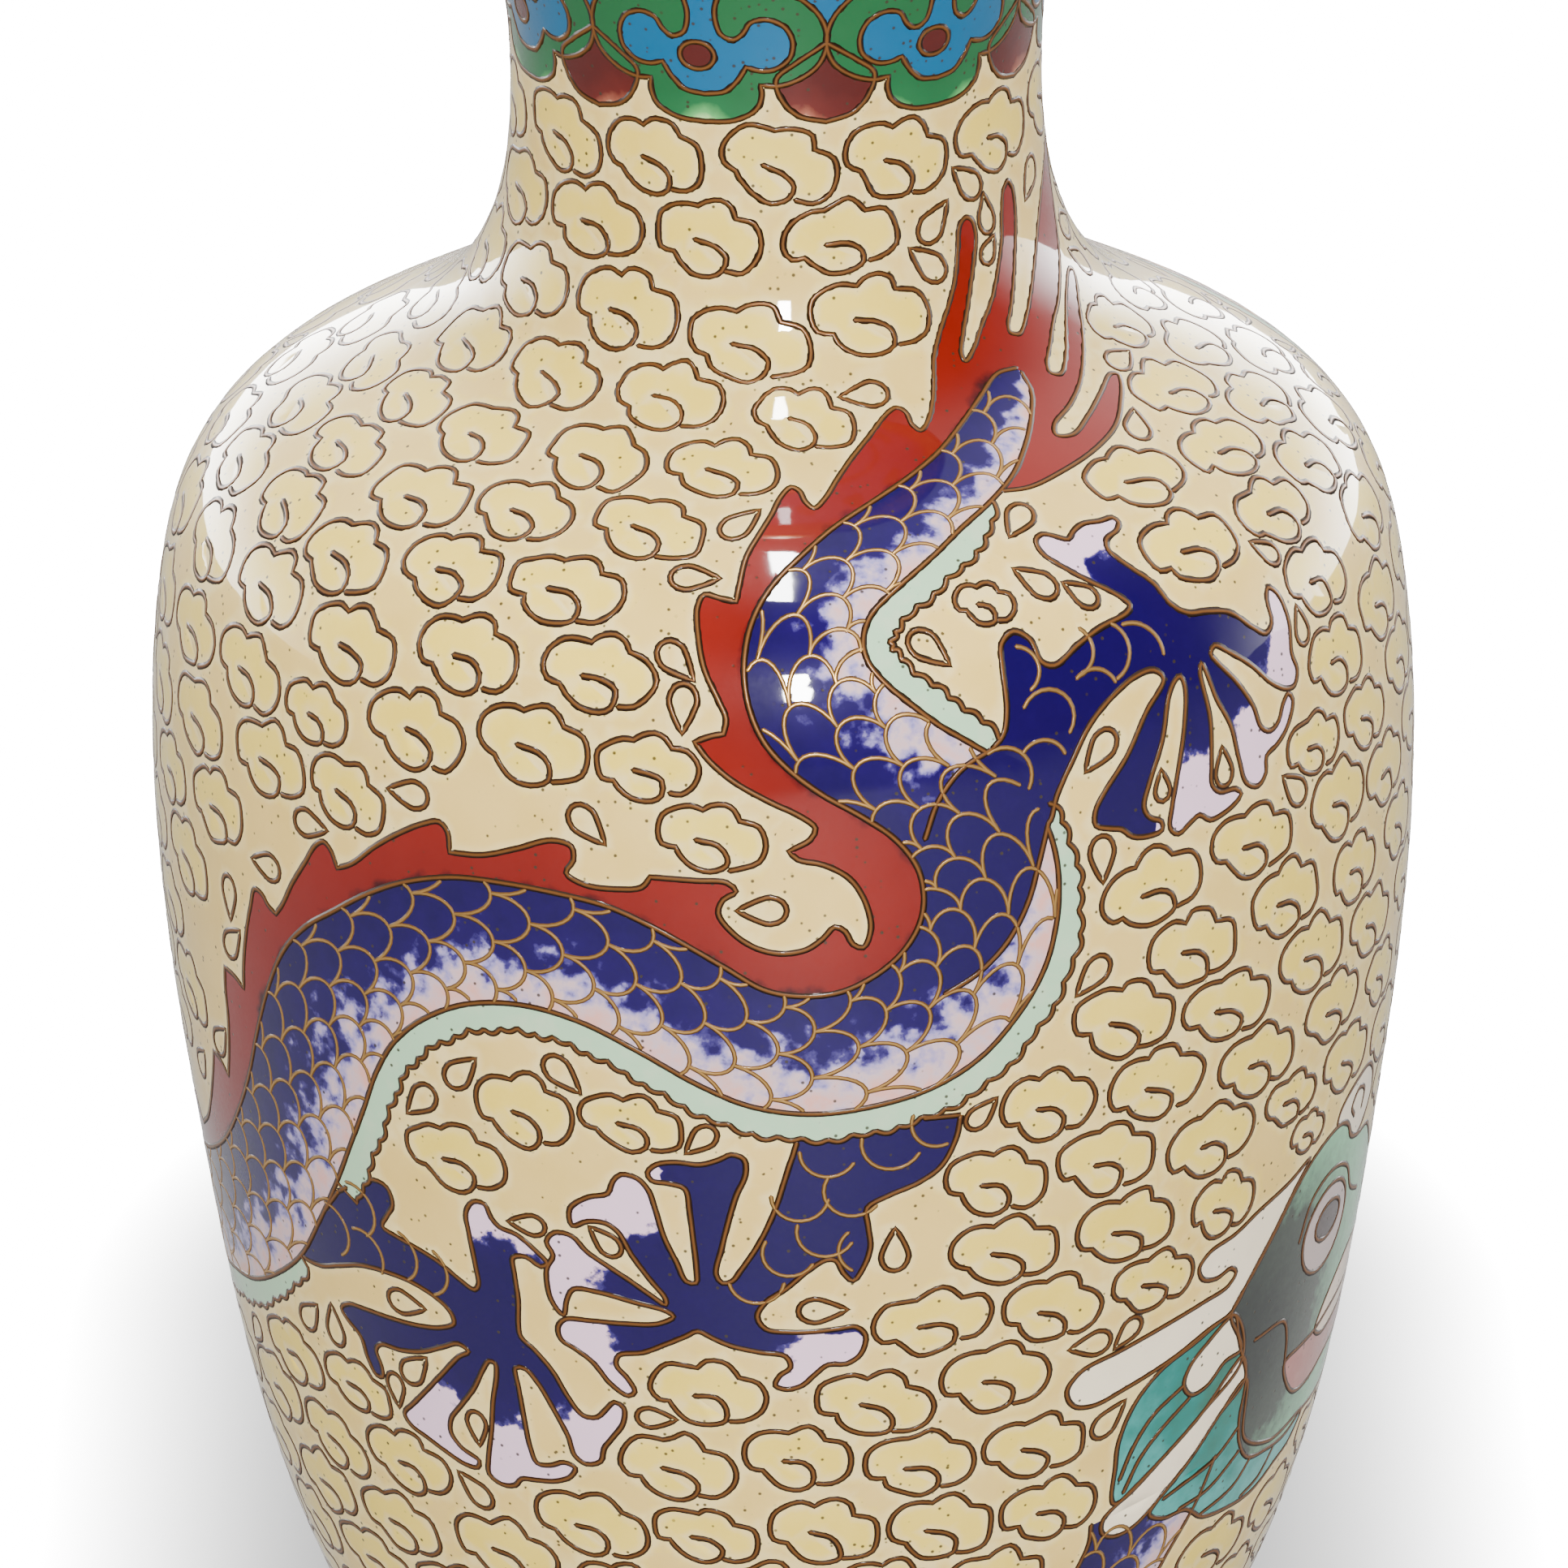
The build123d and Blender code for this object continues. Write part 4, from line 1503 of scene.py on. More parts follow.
        wires = group + "_outline_wires"
        for outline, enamel, shade in (
            (self.lower_hair, Enamel.HAIR, thick),
            (self.upper_hair, Enamel.HAIR, thick),
            (self.face, Enamel.FACE, pale),
            (self.mouth, Enamel.MOUTH, even),
            (self.lip, Enamel.LIP, even),
            (self.ear, Enamel.HORN, even),
            (self.antler, Enamel.HORN, even),
            (self.long_bar, Enamel.HORN, even),
            (self.short_bar, Enamel.HORN, even),
        ):
            picture.cell(moved(flow(outline, closed=True)), enamel, wires, shade)
        picture.cell(moved(ellipse(*self.eye)), Enamel.EYE, wires)
        picture.cell(moved(ellipse(*self.iris, count=20)), Enamel.IRIS, wires)
        for strand in self.strands:
            picture.wire(moved(flow(strand)), wires)


HEAD = Head()


def dragon_back(picture: Picture) -> None:
    """Draws the dragon whose head is at the lower right and whose body runs round the back."""
    body = Body(BACK_RIBS, "dragon_two")
    tuft = flow(FRONT_MANE[0][3 : FRONT_MANE[0].index((22.8, 56.8)) + 1])
    pose = Pose((36.0, 56.0), (138.5, 71.0), turn=42, size=0.7)
    picture.cell(pose.move(tuft), Enamel.MANE, "dragon_two_outline_wires", lambda points: np.full(len(points), 0.9))
    body.flames(picture, 2.0, 22.5)
    body.draw(picture)
    body.ribbon(picture, 2.5, 21.0, 2.35, (0.5, 0.3))
    LEG_C.draw(picture, "dragon_two", Pose((-43.0, -32.0), (87.0, -85.0), turn=-28, size=0.9))
    LEG_C.draw(picture, "dragon_two", Pose((-43.0, -32.0), (110.5, -40.0), turn=8, size=0.95))
    LEG_C.draw(picture, "dragon_two", Pose((-43.0, -32.0), (100.5, 14.0), turn=-12, size=0.9))
    HEAD.draw(picture, "dragon_two")


def pearl(picture: Picture) -> None:
    """Draws the flaming pearl between the dragons at the back."""
    centre = np.array([150.0, 12.0])
    at = np.linspace(0, 2 * math.pi, 90, endpoint=False)
    reach = 5.2 + 2.6 * np.abs(np.sin(2.5 * at)) ** 3 * (1 + 0.3 * np.cos(at))
    flames = centre + reach[:, None] * np.stack([np.cos(at), np.sin(at)], 1)
    picture.cell(flames, Enamel.MANE, "pearl_wires", lambda points: np.full(len(points), 0.9))
    picture.cell(ellipse(tuple(centre), (3.6, 3.6)), Enamel.HORN, "pearl_wires")
    spiral = centre + (at / 2.6)[:60, None] * np.stack([np.cos(2.4 * at), np.sin(2.4 * at)], 1)[:60]
    picture.wire(spiral, "pearl_wires")


@dataclass
class Borders:
    """Lappets above the foot, and the small scrolls of the foot and mouth bands."""

    lappets: int = 20
    petal: Stroke = ((0, 39.6), (1.5, 38.8), (3.3, 37.4), (4.1, 35), (3.9, 31), (3.9, 26), (3.9, 24.2))
    inner: Stroke = ((0, 36.8), (1.6, 35.6), (2.4, 33.6), (2.3, 29), (2.3, 24.9))
    scrolls: int = 16
    foot_scroll: Stroke = (
        (-4.6, 9), (-2.6, 7), (-0.4, 9.4), (0.2, 13.4), (2.4, 16.4), (4.6, 14.8), (4.4, 12.2), (3, 11.8),
        (2.4, 13.2),
    )
    beads: int = 22

    def draw(self, picture: Picture) -> None:
        """Lays the borders on the pattern."""
        surface = picture.surface
        for k in range(self.lappets):
            azimuth = -180 + 360 / self.lappets * (k + 0.5)
            for half, enamel in ((self.petal, Enamel.COLLAR_GREEN), (self.inner, Enamel.COLLAR_BLUE)):
                right = chain([half], 0.5)
                outline = np.vstack([right, right[::-1] * np.array([-1, 1])])[:-1]
                picture.cell(surface.place(azimuth, outline), enamel, "border_wires")
            dot = ellipse((0.0, 31.0), (1.1, 1.5), count=14)
            picture.cell(surface.place(azimuth, dot), Enamel.COLLAR_RED, "border_wires")
        for k in range(self.scrolls):
            azimuth = -180 + 360 / self.scrolls * (k + 0.5)
            scroll = flow(self.foot_scroll)
            picture.wire(surface.place(azimuth, scroll), "border_wires")
            dot = ellipse((-2.4, 15.0), (1.5, 1.5), count=16)
            picture.cell(surface.place(azimuth, dot), Enamel.COLLAR_RED, "border_wires")
        for k in range(self.beads):
            azimuth = -180 + 360 / self.beads * (k + 0.5)
            drop = turned(np.array(DROP) - np.array([1.4, 0]), 18) * 0.95 + np.array([0, 196.4])
            picture.cell(surface.place(azimuth, flow(drop.tolist(), closed=True)), Enamel.COLLAR_GREEN, "border_wires")


# ---- clouds -----------------------------------------------------------------------------------

CLOUD: tuple[Stroke, ...] = (
    ((1.75, -2.6), (2.9, -2.6), (4.15, -1.75), (4.5, -0.2), (3.9, 1.3), (2.3, 1.75)),
    ((1.8, 2.7), (0.9, 3.15), (-0.2, 2.95), (-0.95, 2.45)),
    ((-1.9, 2.65), (-3.2, 2.4), (-4.3, 1.4), (-4.5, 0), (-4, -1.05), (-2.95, -1.25)),
    ((-2.5, -2), (-1.4, -2.9), (0.2, -3.15), (1.3, -2.6), (1.45, -1.5), (0.5, -0.6), (-1.2, -0.3)),
)
DROP: Stroke = (
    (0, 0), (1.2, 0.62), (2.2, 0.92), (3, 0.6), (3.25, 0), (3, -0.6), (2.2, -0.92), (1.2, -0.62), (0, 0),
)


@dataclass
class Clouds:
    """Rows of open cloud scrolls on the ground, with drops in the gaps beside the dragons."""

    bottom: float = 41.5  # lowest and highest heights that clouds reach
    top: float = 178.0
    pitch: float = 10.3  # spacing along a row
    tolerance: float = 0.9  # how far the pitch may stray before a row gets another number of clouds
    row: float = 6.1  # spacing of the rows
    shift: float = 0.38  # of each row against the one above, as a share of the pitch
    anchor: float = 0.5  # place of the first cloud, as a share of the pitch
    clearance: float = 0.62  # least distance between the middles of two wires
    shape: Point = (1.0, 0.98)  # breadth and height against the pattern cloud
    head_room: float = 6.5  # from the highest height to the first row
    foot_room: float = 3.0  # from the lowest height to the last row, at least
    step: float = 0.62  # spacing of the points of a cloud's line
    reach: float = 8.0  # how far from its centre a cloud may meet another wire
    straying: float = 0.09  # of a cloud's points
    turning: float = 5.0  # of a cloud, in degrees
    growing: float = 0.04  # of a cloud's breadth and height, as a share
    sizes: tuple[float, ...] = (1.0, 0.95, 0.9, 0.84, 0.78)  # tried for a cloud in a row
    moves: tuple[float, ...] = (0.8, 1.6, 2.4)  # tried for a cloud in a row, in eight directions
    spares: int = 6000  # places tried for smaller clouds and for drops
    zones: tuple[tuple[str, float], ...] = (("neck", 45.0), ("belly", -30.0), ("lower", -math.inf))
    drop_sizes: tuple[float, ...] = (1.2, 1.0, 0.8)
    drop_room: float = 1.3  # least distance from a drop's middle to a wire
    drop_clearance: float = 0.42  # least distance between its wire and another

    def rows(self, surface: VaseSurface) -> np.ndarray:
        """Cloud centres in staggered rows, which keep their number of clouds while it suits them."""
        low, high = float(surface.up_of(self.bottom)), float(surface.up_of(self.top))
        up, shift, count, centres = high - self.head_room, 0.0, 0, []
        while up > low + self.foot_room:
            around = 2 * surface.half_turn * float(surface.shrink(up))
            if not count or abs(around / count - self.pitch) > self.tolerance:
                count = round(around / self.pitch)
            pitch = 2 * surface.half_turn / count
            x = self.anchor + (np.arange(count) + shift) * pitch
            centres.append(np.stack([x, np.full(count, up)], 1))
            shift += self.shift
            up -= self.row / float(surface.shrink(up))
        points = np.vstack(centres)
        points[:, 0] = (points[:, 0] + surface.half_turn) % (2 * surface.half_turn) - surface.half_turn
        return points

    def scroll(
        self, surface: VaseSurface, centre: np.ndarray, size: Point, turn: float, jitter: np.ndarray
    ) -> np.ndarray:
        """One cloud's line on the pattern.

        Args:
            surface: The vase.
            centre: The cloud's centre.
            size: Its size across and up.
            turn: Its turn in degrees.
            jitter: How far each of its points strays.

        Returns:
            Its points.
        """
        shrink = float(surface.shrink(centre[1]))
        moved, start = [], 0
        for stroke in CLOUD:
            local = (np.array(stroke) + jitter[start : start + len(stroke)]) * np.array(size)
            moved.append([tuple(p) for p in turned(local, turn) / shrink + centre])
            start += len(stroke)
        return chain(moved, self.step / shrink)

    def beside(self, surface: VaseSurface, points: np.ndarray, centre: np.ndarray, reach: float) -> np.ndarray:
        """Finds the points near a centre, and brings those round the back next to it.

        Args:
            surface: The vase.
            points: The points to choose from.
            centre: The centre.
            reach: How far they may lie from it, on the pattern.

        Returns:
            The points within reach.
        """
        turn = 2 * surface.half_turn
        gap = points - centre
        gap[:, 0] = (gap[:, 0] + turn / 2) % turn - turn / 2
        return gap[np.abs(gap).max(1) < reach] + centre

    def fitted(
        self,
        picture: Picture,
        near: np.ndarray,
        centre: np.ndarray,
        size: Point,
        turn: float,
        jitter: np.ndarray,
        shares: Sequence[float],
    ) -> np.ndarray | None:
        """The largest cloud near a centre that clears the figures and the other clouds.

        Args:
            picture: The picture so far.
            near: The wires near the centre.
            centre: Where the cloud would be.
            size: Its size across and up.
            turn: Its turn in degrees.
            jitter: How far each of its points strays.
            shares: The sizes to try; a single one is tried without moves.

        Returns:
            The cloud's line, or None if there is no room.
        """
        shrink = float(picture.surface.shrink(centre[1]))
        steps = [np.zeros(2)]
        if len(shares) > 1:
            angles = np.arange(8) * math.pi / 4
            steps += [move * np.array([math.cos(a), 0.7 * math.sin(a)]) for move in self.moves for a in angles]
        for share in shares:
            shape = self.scroll(picture.surface, centre, (share * size[0], share * size[1]), turn, jitter)
            for step in steps:
                line = shape + step / shrink
                if len(near):
                    gap = line[:, None] - near[None]
                    if (gap**2).sum(2).min() < (self.clearance / shrink) ** 2:
                        continue
                if not picture.covered(line[::9]).any():
                    return line
        return None

    def scattered(self, surface: VaseSurface, rng: np.random.Generator, low: float, high: float) -> np.ndarray:
        """Random places all round the vase, between two heights of the pattern."""
        half = surface.half_turn
        return np.stack([rng.uniform(-half, half, self.spares), rng.uniform(low, high, self.spares)], 1)

    def draw(self, picture: Picture) -> None:
        """Lays the clouds and the drops between them."""
        surface = picture.surface
        rng = np.random.default_rng(SEED)
        centres = self.rows(surface)
        figures = picture.all_points()
        figure_tree = tree_of(figures)
        laid: list[np.ndarray] = []
        heap = figures[np.abs(figures[:, 0]) < surface.half_turn + 12]
        knots = sum(len(stroke) for stroke in CLOUD)
        low, high = float(surface.up_of(self.bottom)) + 3, float(surface.up_of(self.top)) - 4
        tries = [(centre, self.sizes) for centre in centres]
        spare = self.scattered(surface, rng, low, high)
        tries += [(centre, (0.95 - 0.4 * (number // 1000) / 5,)) for number, centre in enumerate(spare)]
        for centre, shares in tries:
            shrink = float(surface.shrink(centre[1]))
            near = self.beside(surface, heap, centre, self.reach / shrink)
            if len(shares) == 1 and len(near) and np.hypot(*(near - centre).T).min() * shrink < 2.0 * shares[0]:
                continue
            jitter = rng.normal(0, self.straying, (knots, 2))
            turn = rng.normal(0, self.turning)
            wide, tall = rng.normal(1.0, self.growing, 2) * np.array(self.shape)
            line = self.fitted(picture, near, centre, (wide, tall), turn, jitter, shares)
            if line is not None:
                laid.append(line)
                heap = np.vstack([heap, line])
        for line in laid:
            height = line[:, 1].mean()
            zone = next(name for name, lowest in self.zones if height > lowest)
            picture.wire(line, f"cloud_wires_{zone}")
        LOG.info("clouds: %d of %d", len(laid), len(centres))
        self.drops(picture, rng, figure_tree, laid)
        for line in laid:
            picture.cell(line, Enamel.GROUND, shade=lambda points: np.ones(len(points)))

    def drops(
        self, picture: Picture, rng: np.random.Generator, figure_tree: KDTree, laid: list[np.ndarray]
    ) -> None:
        """Lays drops in the gaps that are left, most of them beside the figures.

        Args:
            picture: Where to draw.
            rng: The random draws.
            figure_tree: The figures' wires.
            laid: The clouds' lines.
        """
        surface = picture.surface
        low, high = float(surface.up_of(self.bottom)) + 2, float(surface.up_of(self.top)) - 6
        tried = self.scattered(surface, rng, low, high)
        tried = tried[~picture.covered(tried)]
        beside = nearest(figure_tree, tried)[1] * surface.shrink(tried[:, 1]) < 3.2
        tried = tried[beside | (rng.random(len(tried)) < 0.04)]
        gap = nearest(tree_of(picture.all_points()), tried)[1] * surface.shrink(tried[:, 1])
        tried = tried[gap > self.drop_room][np.argsort(-gap[gap > self.drop_room])]
        for line in laid:
            tried = tried[~encloses(line, tried)]
        points = picture.all_points()
        count = 0
        for spot in tried:
            shrink = float(surface.shrink(spot[1]))
            near = points[np.abs(points - spot).max(1) < 5 / shrink]
            if np.hypot(*(near - spot).T).min() * shrink < self.drop_room:
                continue
            best, room = None, 0.0
            for turn in range(0, 360, 45):
                for size in self.drop_sizes:
                    drop = (np.array(DROP) - np.array([1.7, 0])) * size
                    line = flow((turned(drop, turn) / shrink + spot).tolist(), step=0.6 / shrink)[:-1]
                    clear = np.sqrt(((line[:, None] - near[None]) ** 2).sum(2)).min() * shrink
                    if clear > self.drop_clearance and clear + 2 * size > room:
                        best, room = line, clear + 2 * size
            if best is not None:
                picture.wire(best, "drop_wires", closed=True)
                points = np.vstack([points, best])
                count += 1
        LOG.info("drops: %d", count)


# ---- collar of ruyi heads ---------------------------------------------------------------------


@dataclass
class Collar:
    """Seven ruyi heads hanging round the neck, with red half discs between them."""

    count: int = 7
    first: float = -15.2  # azimuth of one head, in degrees
    top: float = 192.75
    touch: float = 185.2  # height where neighbouring heads meet
    breadth: float = 9.5  # half the width of a head as drawn
    frame_half: tuple[Stroke, ...] = (
        ((0, 178.6), (2.2, 178.8), (3.9, 179.7), (4.4, 180.9), (4.35, 181.8)),
        (
            (5.6, 181.7), (7.4, 182.3), (8.8, 183.4), (9.5, 185), (9.4, 186.8), (8.4, 188.5), (6.4, 189.9),
            (4, 190.5), (2, 190), (1.2, 188.6), (1.1, 187.2), (1.5, 186), (2.4, 185.6), (3.2, 186.2),
            (3.8, 187.1), (4.9, 187.4), (6.2, 186.9), (6.9, 185.6), (6.6, 184), (5.4, 183.1), (4.3, 183),
            (3.3, 183.3),
        ),
        ((2.7, 182.3), (1.6, 181.2), (0, 180.9)),
    )
    heart_half: tuple[Stroke, ...] = (
        ((0, 180.9), (1.6, 181.2), (2.7, 182.3), (3.3, 183.3)),
        (
            (4.3, 183), (5.4, 183.1), (6.6, 184), (6.9, 185.6), (6.2, 186.9), (4.9, 187.4), (2, 188.4),
            (0, 188.6),
        ),
    )
    disc: Stroke = ((0, 178.6), (2.2, 179.2), (3.5, 180.6), (3.9, 182.3), (2.4, 183.6), (0, 185.2))

    def draw(self, picture: Picture) -> None:
        """Lays the collar on the pattern."""
        surface = picture.surface
        scale = 180 / self.count / math.degrees(self.breadth / float(surface.radius_at(surface.up_of(self.touch))))
        low, high = float(surface.up_of(self.touch)), float(surface.up_of(self.top))
        half = surface.half_turn
        band = [(x, low) for x in np.linspace(-half, half, 80)]
        band += [(x, high + 9) for x in np.linspace(half, -half, 80)]
        picture.cell(np.array(band), Enamel.COLLAR_BLUE)
        fade = self.fader(surface)
        for k in range(self.count):
            azimuth = self.first + 360 / self.count * k
            azimuth = (azimuth + 180) % 360 - 180
            disc = chain([self.disc], 0.4)
            disc = np.vstack([disc, disc[-2:0:-1] * np.array([-1, 1])])
            between = azimuth + 180 / self.count
            picture.cell(surface.place(between, disc), Enamel.COLLAR_RED, "collar_wires", fade)
        for k in range(self.count):
            azimuth = self.first + 360 / self.count * k
            azimuth = (azimuth + 180) % 360 - 180
            right = chain(self.frame_half, 0.4) * np.array([scale, 1])
            outline = np.vstack([right, right[-2:0:-1] * np.array([-1, 1])])
            heart = chain(self.heart_half, 0.4) * np.array([scale, 1])
            heart = np.vstack([heart, heart[-2:0:-1] * np.array([-1, 1])])
            picture.cell(surface.place(azimuth, heart), Enamel.COLLAR_BLUE)
            picture.cell(surface.place(azimuth, outline), Enamel.COLLAR_GREEN, "collar_wires", fade)
            dot = ellipse((-0.5, 184.1), (1.4, 1.15))
            picture.cell(surface.place(azimuth, dot), Enamel.COLLAR_RED, "collar_wires")

    def fader(self, surface: VaseSurface) -> Shade:
        """A shade that pales at the lower edge of the collar."""
        low, high = float(surface.up_of(178.6)), float(surface.up_of(181.5))

        def fade(points: np.ndarray) -> np.ndarray:
            """1 at the lower edge, 0 above."""
            drift = 0.25 * np.sin(points[:, 0] * 0.35)
            return np.clip((high - points[:, 1]) / (high - low) * 0.8 + drift, 0, 1)

        return fade


# ---- turned metal and linings -----------------------------------------------------------------


def edit(piece: bpy.types.Object) -> None:
    """Opens one piece in edit mode with nothing else selected."""
    bpy.ops.object.select_all(action="DESELECT")
    bpy.context.view_layer.objects.active = piece
    piece.select_set(True)
    bpy.ops.object.mode_set(mode="EDIT")


def spin(name: str, section: Sequence[Point], material: bpy.types.Material, closed: bool = True) -> bpy.types.Object:
    """Turns a section round the vase's axis, as on a lathe.

    Args:
        name: The piece's name.
        section: Radius and height of each point, in millimetres.
        material: Its finish.
        closed: Whether the section runs back to its first point.

    Returns:
        The turned piece.
    """
    bpy.ops.object.select_all(action="DESELECT")
    bpy.ops.mesh.primitive_circle_add(vertices=len(section), radius=MM, location=(0, 0, 0))
    piece = bpy.context.object
    piece.name = piece.data.name = name
    for vertex, (radius, height) in zip(piece.data.vertices, section):
        vertex.co = (radius * MM, 0, height * MM)
    edit(piece)
    if not closed:
        bpy.ops.mesh.select_all(action="DESELECT")
        bpy.ops.object.mode_set(mode="OBJECT")
        last = len(section) - 1
        for side in piece.data.edges:
            side.select = set(side.vertices) == {0, last}
        bpy.ops.object.mode_set(mode="EDIT")
        bpy.ops.mesh.select_mode(type="EDGE")
        bpy.ops.mesh.delete(type="EDGE")
        bpy.ops.mesh.select_mode(type="VERT")
    bpy.ops.mesh.select_all(action="SELECT")
    bpy.ops.mesh.spin(steps=180, angle=2 * math.pi, center=(0, 0, 0), axis=(0, 0, 1))
    bpy.ops.mesh.select_all(action="SELECT")
    bpy.ops.mesh.remove_doubles(threshold=0.001 * MM)
    bpy.ops.mesh.normals_make_consistent(inside=False)
    bpy.ops.mesh.select_all(action="DESELECT")
    bpy.ops.object.mode_set(mode="OBJECT")
    piece.data.materials.append(material)
    bpy.ops.object.shade_smooth_by_angle(angle=math.radians(40))
    piece.select_set(False)
    return piece


def rounded(
    inner: float, outer: float, low: float, high: float, radii: tuple[float, float, float, float]
) -> list[Point]:
    """A rectangle with rounded corners: low inner, low outer, high outer, high inner radii."""
    corners = (
        (inner, low, 1, 1, 180),
        (outer, low, -1, 1, 270),
        (outer, high, -1, -1, 0),
        (inner, high, 1, -1, 90),
    )
    points = []
    for (x, z, right, up, start), radius in zip(corners, radii):
        for k in range(6):
            angle = math.radians(start + 90 * k / 5)
            points.append(
                (x + right * radius + radius * math.cos(angle), z + up * radius + radius * math.sin(angle))
            )
    return points


@dataclass
class Fittings:
    """The brass rims, the border wires and the counter-enamel, turned to the CAD nodes' places."""

    rim_round: float = 1.5
    foot_round: float = 0.7

    def build(self) -> None:
        """Turns the rims and border wires, and dresses the CAD nodes that stay."""
        materials = {"copper": COPPER.material(), "solder": SOLDER.material(), "lining": LINING.material()}
        brass, wire = BRASS.material(), BORDER_WIRE.material()
        self.rim("mouth_rim", "brass_lip", brass, self.rim_round)
        self.rim("foot_rim", "brass_foot_ring", brass, self.foot_round)
        for border in ("foot", "waist", "collar", "mouth"):
            self.border(border, wire)
        dressed = {
            "copper": ("base_plate", "foot_shell", "body_shell", "neck_shell"),
            "solder": ("foot_joint_solder", "neck_joint_solder"),
            "lining": ("foot_lining", "body_lining", "neck_lining", "floor_enamel", "base_enamel"),
        }
        for finish, nodes in dressed.items():
            for node in nodes:
                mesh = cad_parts[node].data
                mesh.materials.clear()
                mesh.materials.append(materials[finish])
                LOG.info("%s dressed as %s", node, finish)

    def rim(self, node: str, name: str, material: bpy.types.Material, top_round: float) -> None:
        """Turns a brass rim with rounded edges."""
        low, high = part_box(node)
        hole = self.hole_of(node)
        section = rounded(hole, high[0] / MM, low[2] / MM, high[2] / MM, (0.7, 0.7, top_round, top_round))
        piece = spin(name, section, material)
        settle(piece, "brass", node)

    def hole_of(self, node: str) -> float:
        """The smallest radius of a node, in millimetres."""
        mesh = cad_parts[node].data
        return min(math.hypot(v.co.x, v.co.y) for v in mesh.vertices) / MM

    def border(self, border: str, material: bpy.types.Material) -> None:
        """Turns a border wire with a softly rounded face."""
        node = border + "_border_wire"
        low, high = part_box(node)
        outer = high[0] / MM
        section = rounded(outer - 0.9, outer, low[2] / MM, high[2] / MM, (0.02, 0.2, 0.2, 0.02))
        piece = spin(node + "_ring", section, material)
        settle(piece, "wire", node)


# ---- studio -----------------------------------------------------------------------------------


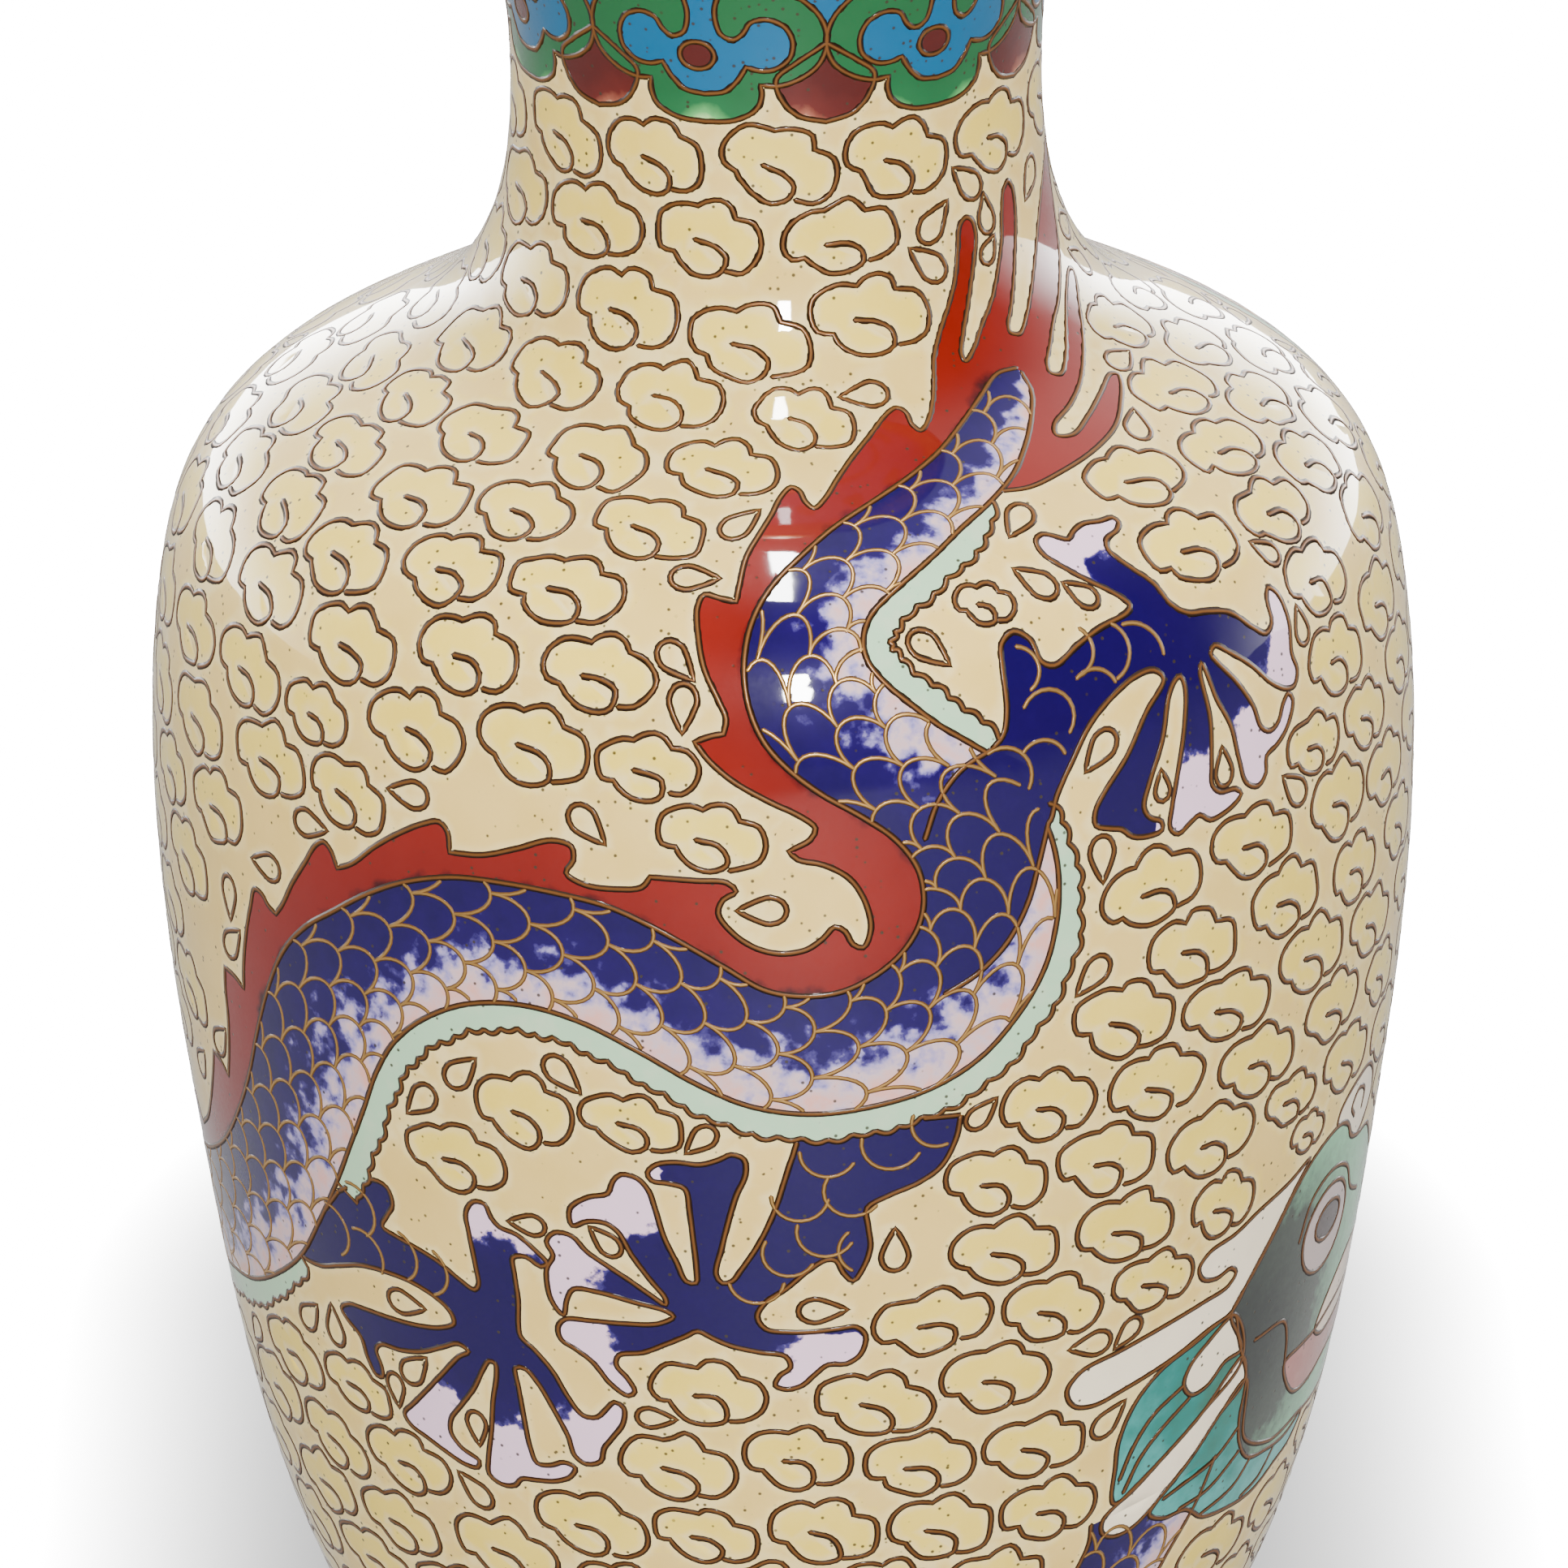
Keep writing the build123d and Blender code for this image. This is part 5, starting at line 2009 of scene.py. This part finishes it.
@dataclass
class Studio:
    """A white table and sweep, with the vase's soft shadow painted on the table, an overhead softbox, a small frontal
    softbox and the camera.
    """

    target: tuple[float, float, float] = (0.0, 0.0, 0.115)
    distance: float = 1.022
    elevation: float = 21.695
    lens: float = 289.4
    roll: float = -0.64
    white: float = 25.0  # radiance that shows as plain white
    front_room: float = 0.05  # brightness of the room in front of the vase
    back_room: float = 26.0  # brightness of the room behind the vase
    ceiling: float = 0.1  # brightness of the room overhead, as a share of its brightness at eye level
    # The four shadow fields shape a painted shadow: the table's emission is dimmed there, whatever the lamps do.
    shadow_end: float = 0.150  # how far behind the axis the shadow is as wide as at the vase
    shadow_reach: float = 0.0492  # half the breadth of the shadow
    shadow_fall: float = 140.0  # how fast it fades outside that
    shadow_round: float = 0.8  # roundness of its far end
    table_side: float = 14.0
    table_cuts: int = 6

    def build(self) -> None:
        """Sets up the floor, the lights, the surroundings and the camera."""
        self.floor()
        self.surroundings()
        self.light("overhead_softbox", 84, 0.0, 1.1, (0.045, 0.45), 12.0)
        self.light("front_softbox", 27, 2.4, 1.6, (0.12, 0.36), 44.0)
        self.light("low_fill", -4, 0.0, 1.5, (1.2, 0.8), 14.0, mirrored=False)
        self.camera()

    def floor(self) -> None:
        """Lays a wide white table, overexposed as the background is, with the soft shadow of the vase painted into its
        emission for the camera's rays: a painted shadow, not one that the lamps cast.
        """
        recipe = Recipe("white_table")
        grain = recipe.noise(3.0, 2.0)
        recipe.bump(grain, 0.02)
        split = recipe.node("ShaderNodeSeparateXYZ", {}, {0: recipe.place})
        aside, back = (Reading(recipe, split.outputs[k]) for k in (0, 1))
        # Painted shadow: the emission that the camera sees drops near the vase and in a rounded strip behind it.
        behind = (back - self.shadow_end)._math("MAXIMUM", back - self.shadow_end, 0.0) * self.shadow_round
        reach = (aside * aside + behind * behind) ** 0.5
        painted_shadow_glow = recipe.node(
            "ShaderNodeMath", {"operation": "EXPONENT"}, {0: (reach - self.shadow_reach) * self.shadow_fall}
        )
        seen = recipe.node("ShaderNodeLightPath", {}, {}).outputs["Is Camera Ray"]
        bright = Reading(recipe, painted_shadow_glow.outputs[0])._math("MINIMUM", Reading(recipe, painted_shadow_glow.outputs[0]), self.white)
        material = recipe.finish(
            base_color=recipe.mix(grain * 0.2, (0.2, 0.2, 0.2, 1), (0.17, 0.17, 0.17, 1)),
            roughness=0.6,
            emission_color=recipe.mix(bright * Reading(recipe, seen) * (1 / self.white), (0, 0, 0, 1), (1, 1, 1, 1)),
            emission_strength=self.white,
        )
        bpy.ops.object.select_all(action="DESELECT")
        bpy.ops.mesh.primitive_plane_add(size=self.table_side)
        table = bpy.context.object
        table.name = "table"
        edit(table)
        bpy.ops.mesh.subdivide(number_cuts=self.table_cuts)
        bpy.ops.object.mode_set(mode="OBJECT")
        table.data.materials.append(material)
        table.select_set(False)

    def surroundings(self) -> None:
        """A white room that is dim in front of the vase, where the camera stands."""
        world = bpy.data.worlds.new("room")
        bpy.context.scene.world = world
        world.use_nodes = True
        nodes, links = world.node_tree.nodes, world.node_tree.links
        nodes.clear()
        place = nodes.new("ShaderNodeTexCoord")
        split = nodes.new("ShaderNodeSeparateXYZ")
        links.new(place.outputs["Generated"], split.inputs[0])
        level = nodes.new("ShaderNodeMath")
        level.operation = "MULTIPLY"
        fades = (("Y", (-0.15, 1.0, self.front_room, self.back_room)), ("Z", (0.0, 0.4, 1.0, self.ceiling)))
        for slot, (axis, limits) in enumerate(fades):
            ramp = nodes.new("ShaderNodeMapRange")
            ramp.interpolation_type = "SMOOTHSTEP"
            for name, value in zip(("From Min", "From Max", "To Min", "To Max"), limits):
                ramp.inputs[name].default_value = value
            links.new(split.outputs[axis], ramp.inputs["Value"])
            links.new(ramp.outputs[0], level.inputs[slot])
        room = nodes.new("ShaderNodeBackground")
        links.new(level.outputs[0], room.inputs["Strength"])
        white = nodes.new("ShaderNodeBackground")
        white.inputs["Strength"].default_value = self.white
        rays = nodes.new("ShaderNodeLightPath")
        mix = nodes.new("ShaderNodeMixShader")
        links.new(rays.outputs["Is Camera Ray"], mix.inputs[0])
        links.new(room.outputs[0], mix.inputs[1])
        links.new(white.outputs[0], mix.inputs[2])
        out = nodes.new("ShaderNodeOutputWorld")
        links.new(mix.outputs[0], out.inputs[0])

    def aim(self, thing: bpy.types.Object, azimuth: float, elevation: float, distance: float) -> None:
        """Puts a light or camera on a sphere round the target and points it at the target."""
        a, e = math.radians(azimuth), math.radians(elevation)
        away = Vector((math.sin(a) * math.cos(e), -math.cos(a) * math.cos(e), math.sin(e)))
        thing.location = Vector(self.target) + away * distance
        thing.rotation_euler = away.to_track_quat("Z", "Y").to_euler()

    def light(
        self,
        name: str,
        elevation: float,
        azimuth: float,
        distance: float,
        size: Point,
        power: float,
        mirrored: bool = True,
    ) -> None:
        """Adds a soft rectangular light.

        Args:
            name: Its name.
            elevation: Its angle above the table, in degrees.
            azimuth: Its angle round from the front, in degrees.
            distance: Its distance from the target.
            size: Its breadth and height.
            power: Its power in watts.
            mirrored: Whether reflections show it.
        """
        lamp = bpy.data.lights.new(name, "AREA")
        lamp.shape = "RECTANGLE"
        lamp.size, lamp.size_y = size
        lamp.energy = power
        holder = bpy.data.objects.new(name, lamp)
        bpy.context.collection.objects.link(holder)
        holder.visible_glossy = mirrored
        self.aim(holder, azimuth, elevation, distance)

    def camera(self) -> None:
        """Adds the camera."""
        lens = bpy.data.cameras.new("camera")
        lens.lens = self.lens
        lens.sensor_width = 36
        lens.clip_end = 100
        holder = bpy.data.objects.new("camera", lens)
        bpy.context.collection.objects.link(holder)
        self.aim(holder, 0, self.elevation, self.distance)
        holder.rotation_euler.rotate_axis("Z", math.radians(self.roll))
        bpy.context.scene.camera = holder


# ---- the whole vase ---------------------------------------------------------------------------

MATERIALS: dict[object, bpy.types.Material] = {}


def main() -> None:
    """Draws the picture, fires it, adds the fittings and sets up the studio."""
    logging.basicConfig(level=logging.INFO, format="%(message)s")
    for thing in ("Cube", "Light", "Camera"):
        if thing in bpy.data.objects:
            bpy.data.objects.remove(bpy.data.objects[thing])
    for enamel in Enamel:
        MATERIALS[enamel] = enamel.value.material()
    MATERIALS["wire"] = WIRE.material()
    MATERIALS["gold"] = GOLD_WIRE.material()
    surface = VaseSurface()
    picture = Picture(surface)
    Collar().draw(picture)
    Borders().draw(picture)
    dragon_front(picture)
    dragon_back(picture)
    pearl(picture)
    Clouds().draw(picture)
    picture.fire(
        (
            Band("foot_enamel", 3.5, 21.75, Enamel.COLLAR_BLUE, "border_enamel"),
            Band("ground_enamel", 22.25, 192.75, Enamel.GROUND, "ground_enamel"),
            Band("mouth_enamel", 193.25, 199.5, Enamel.COLLAR_BLUE, "border_enamel"),
        )
    )
    Fittings().build()
    Studio().build()
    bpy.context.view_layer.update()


if __name__ == "__main__":
    main()
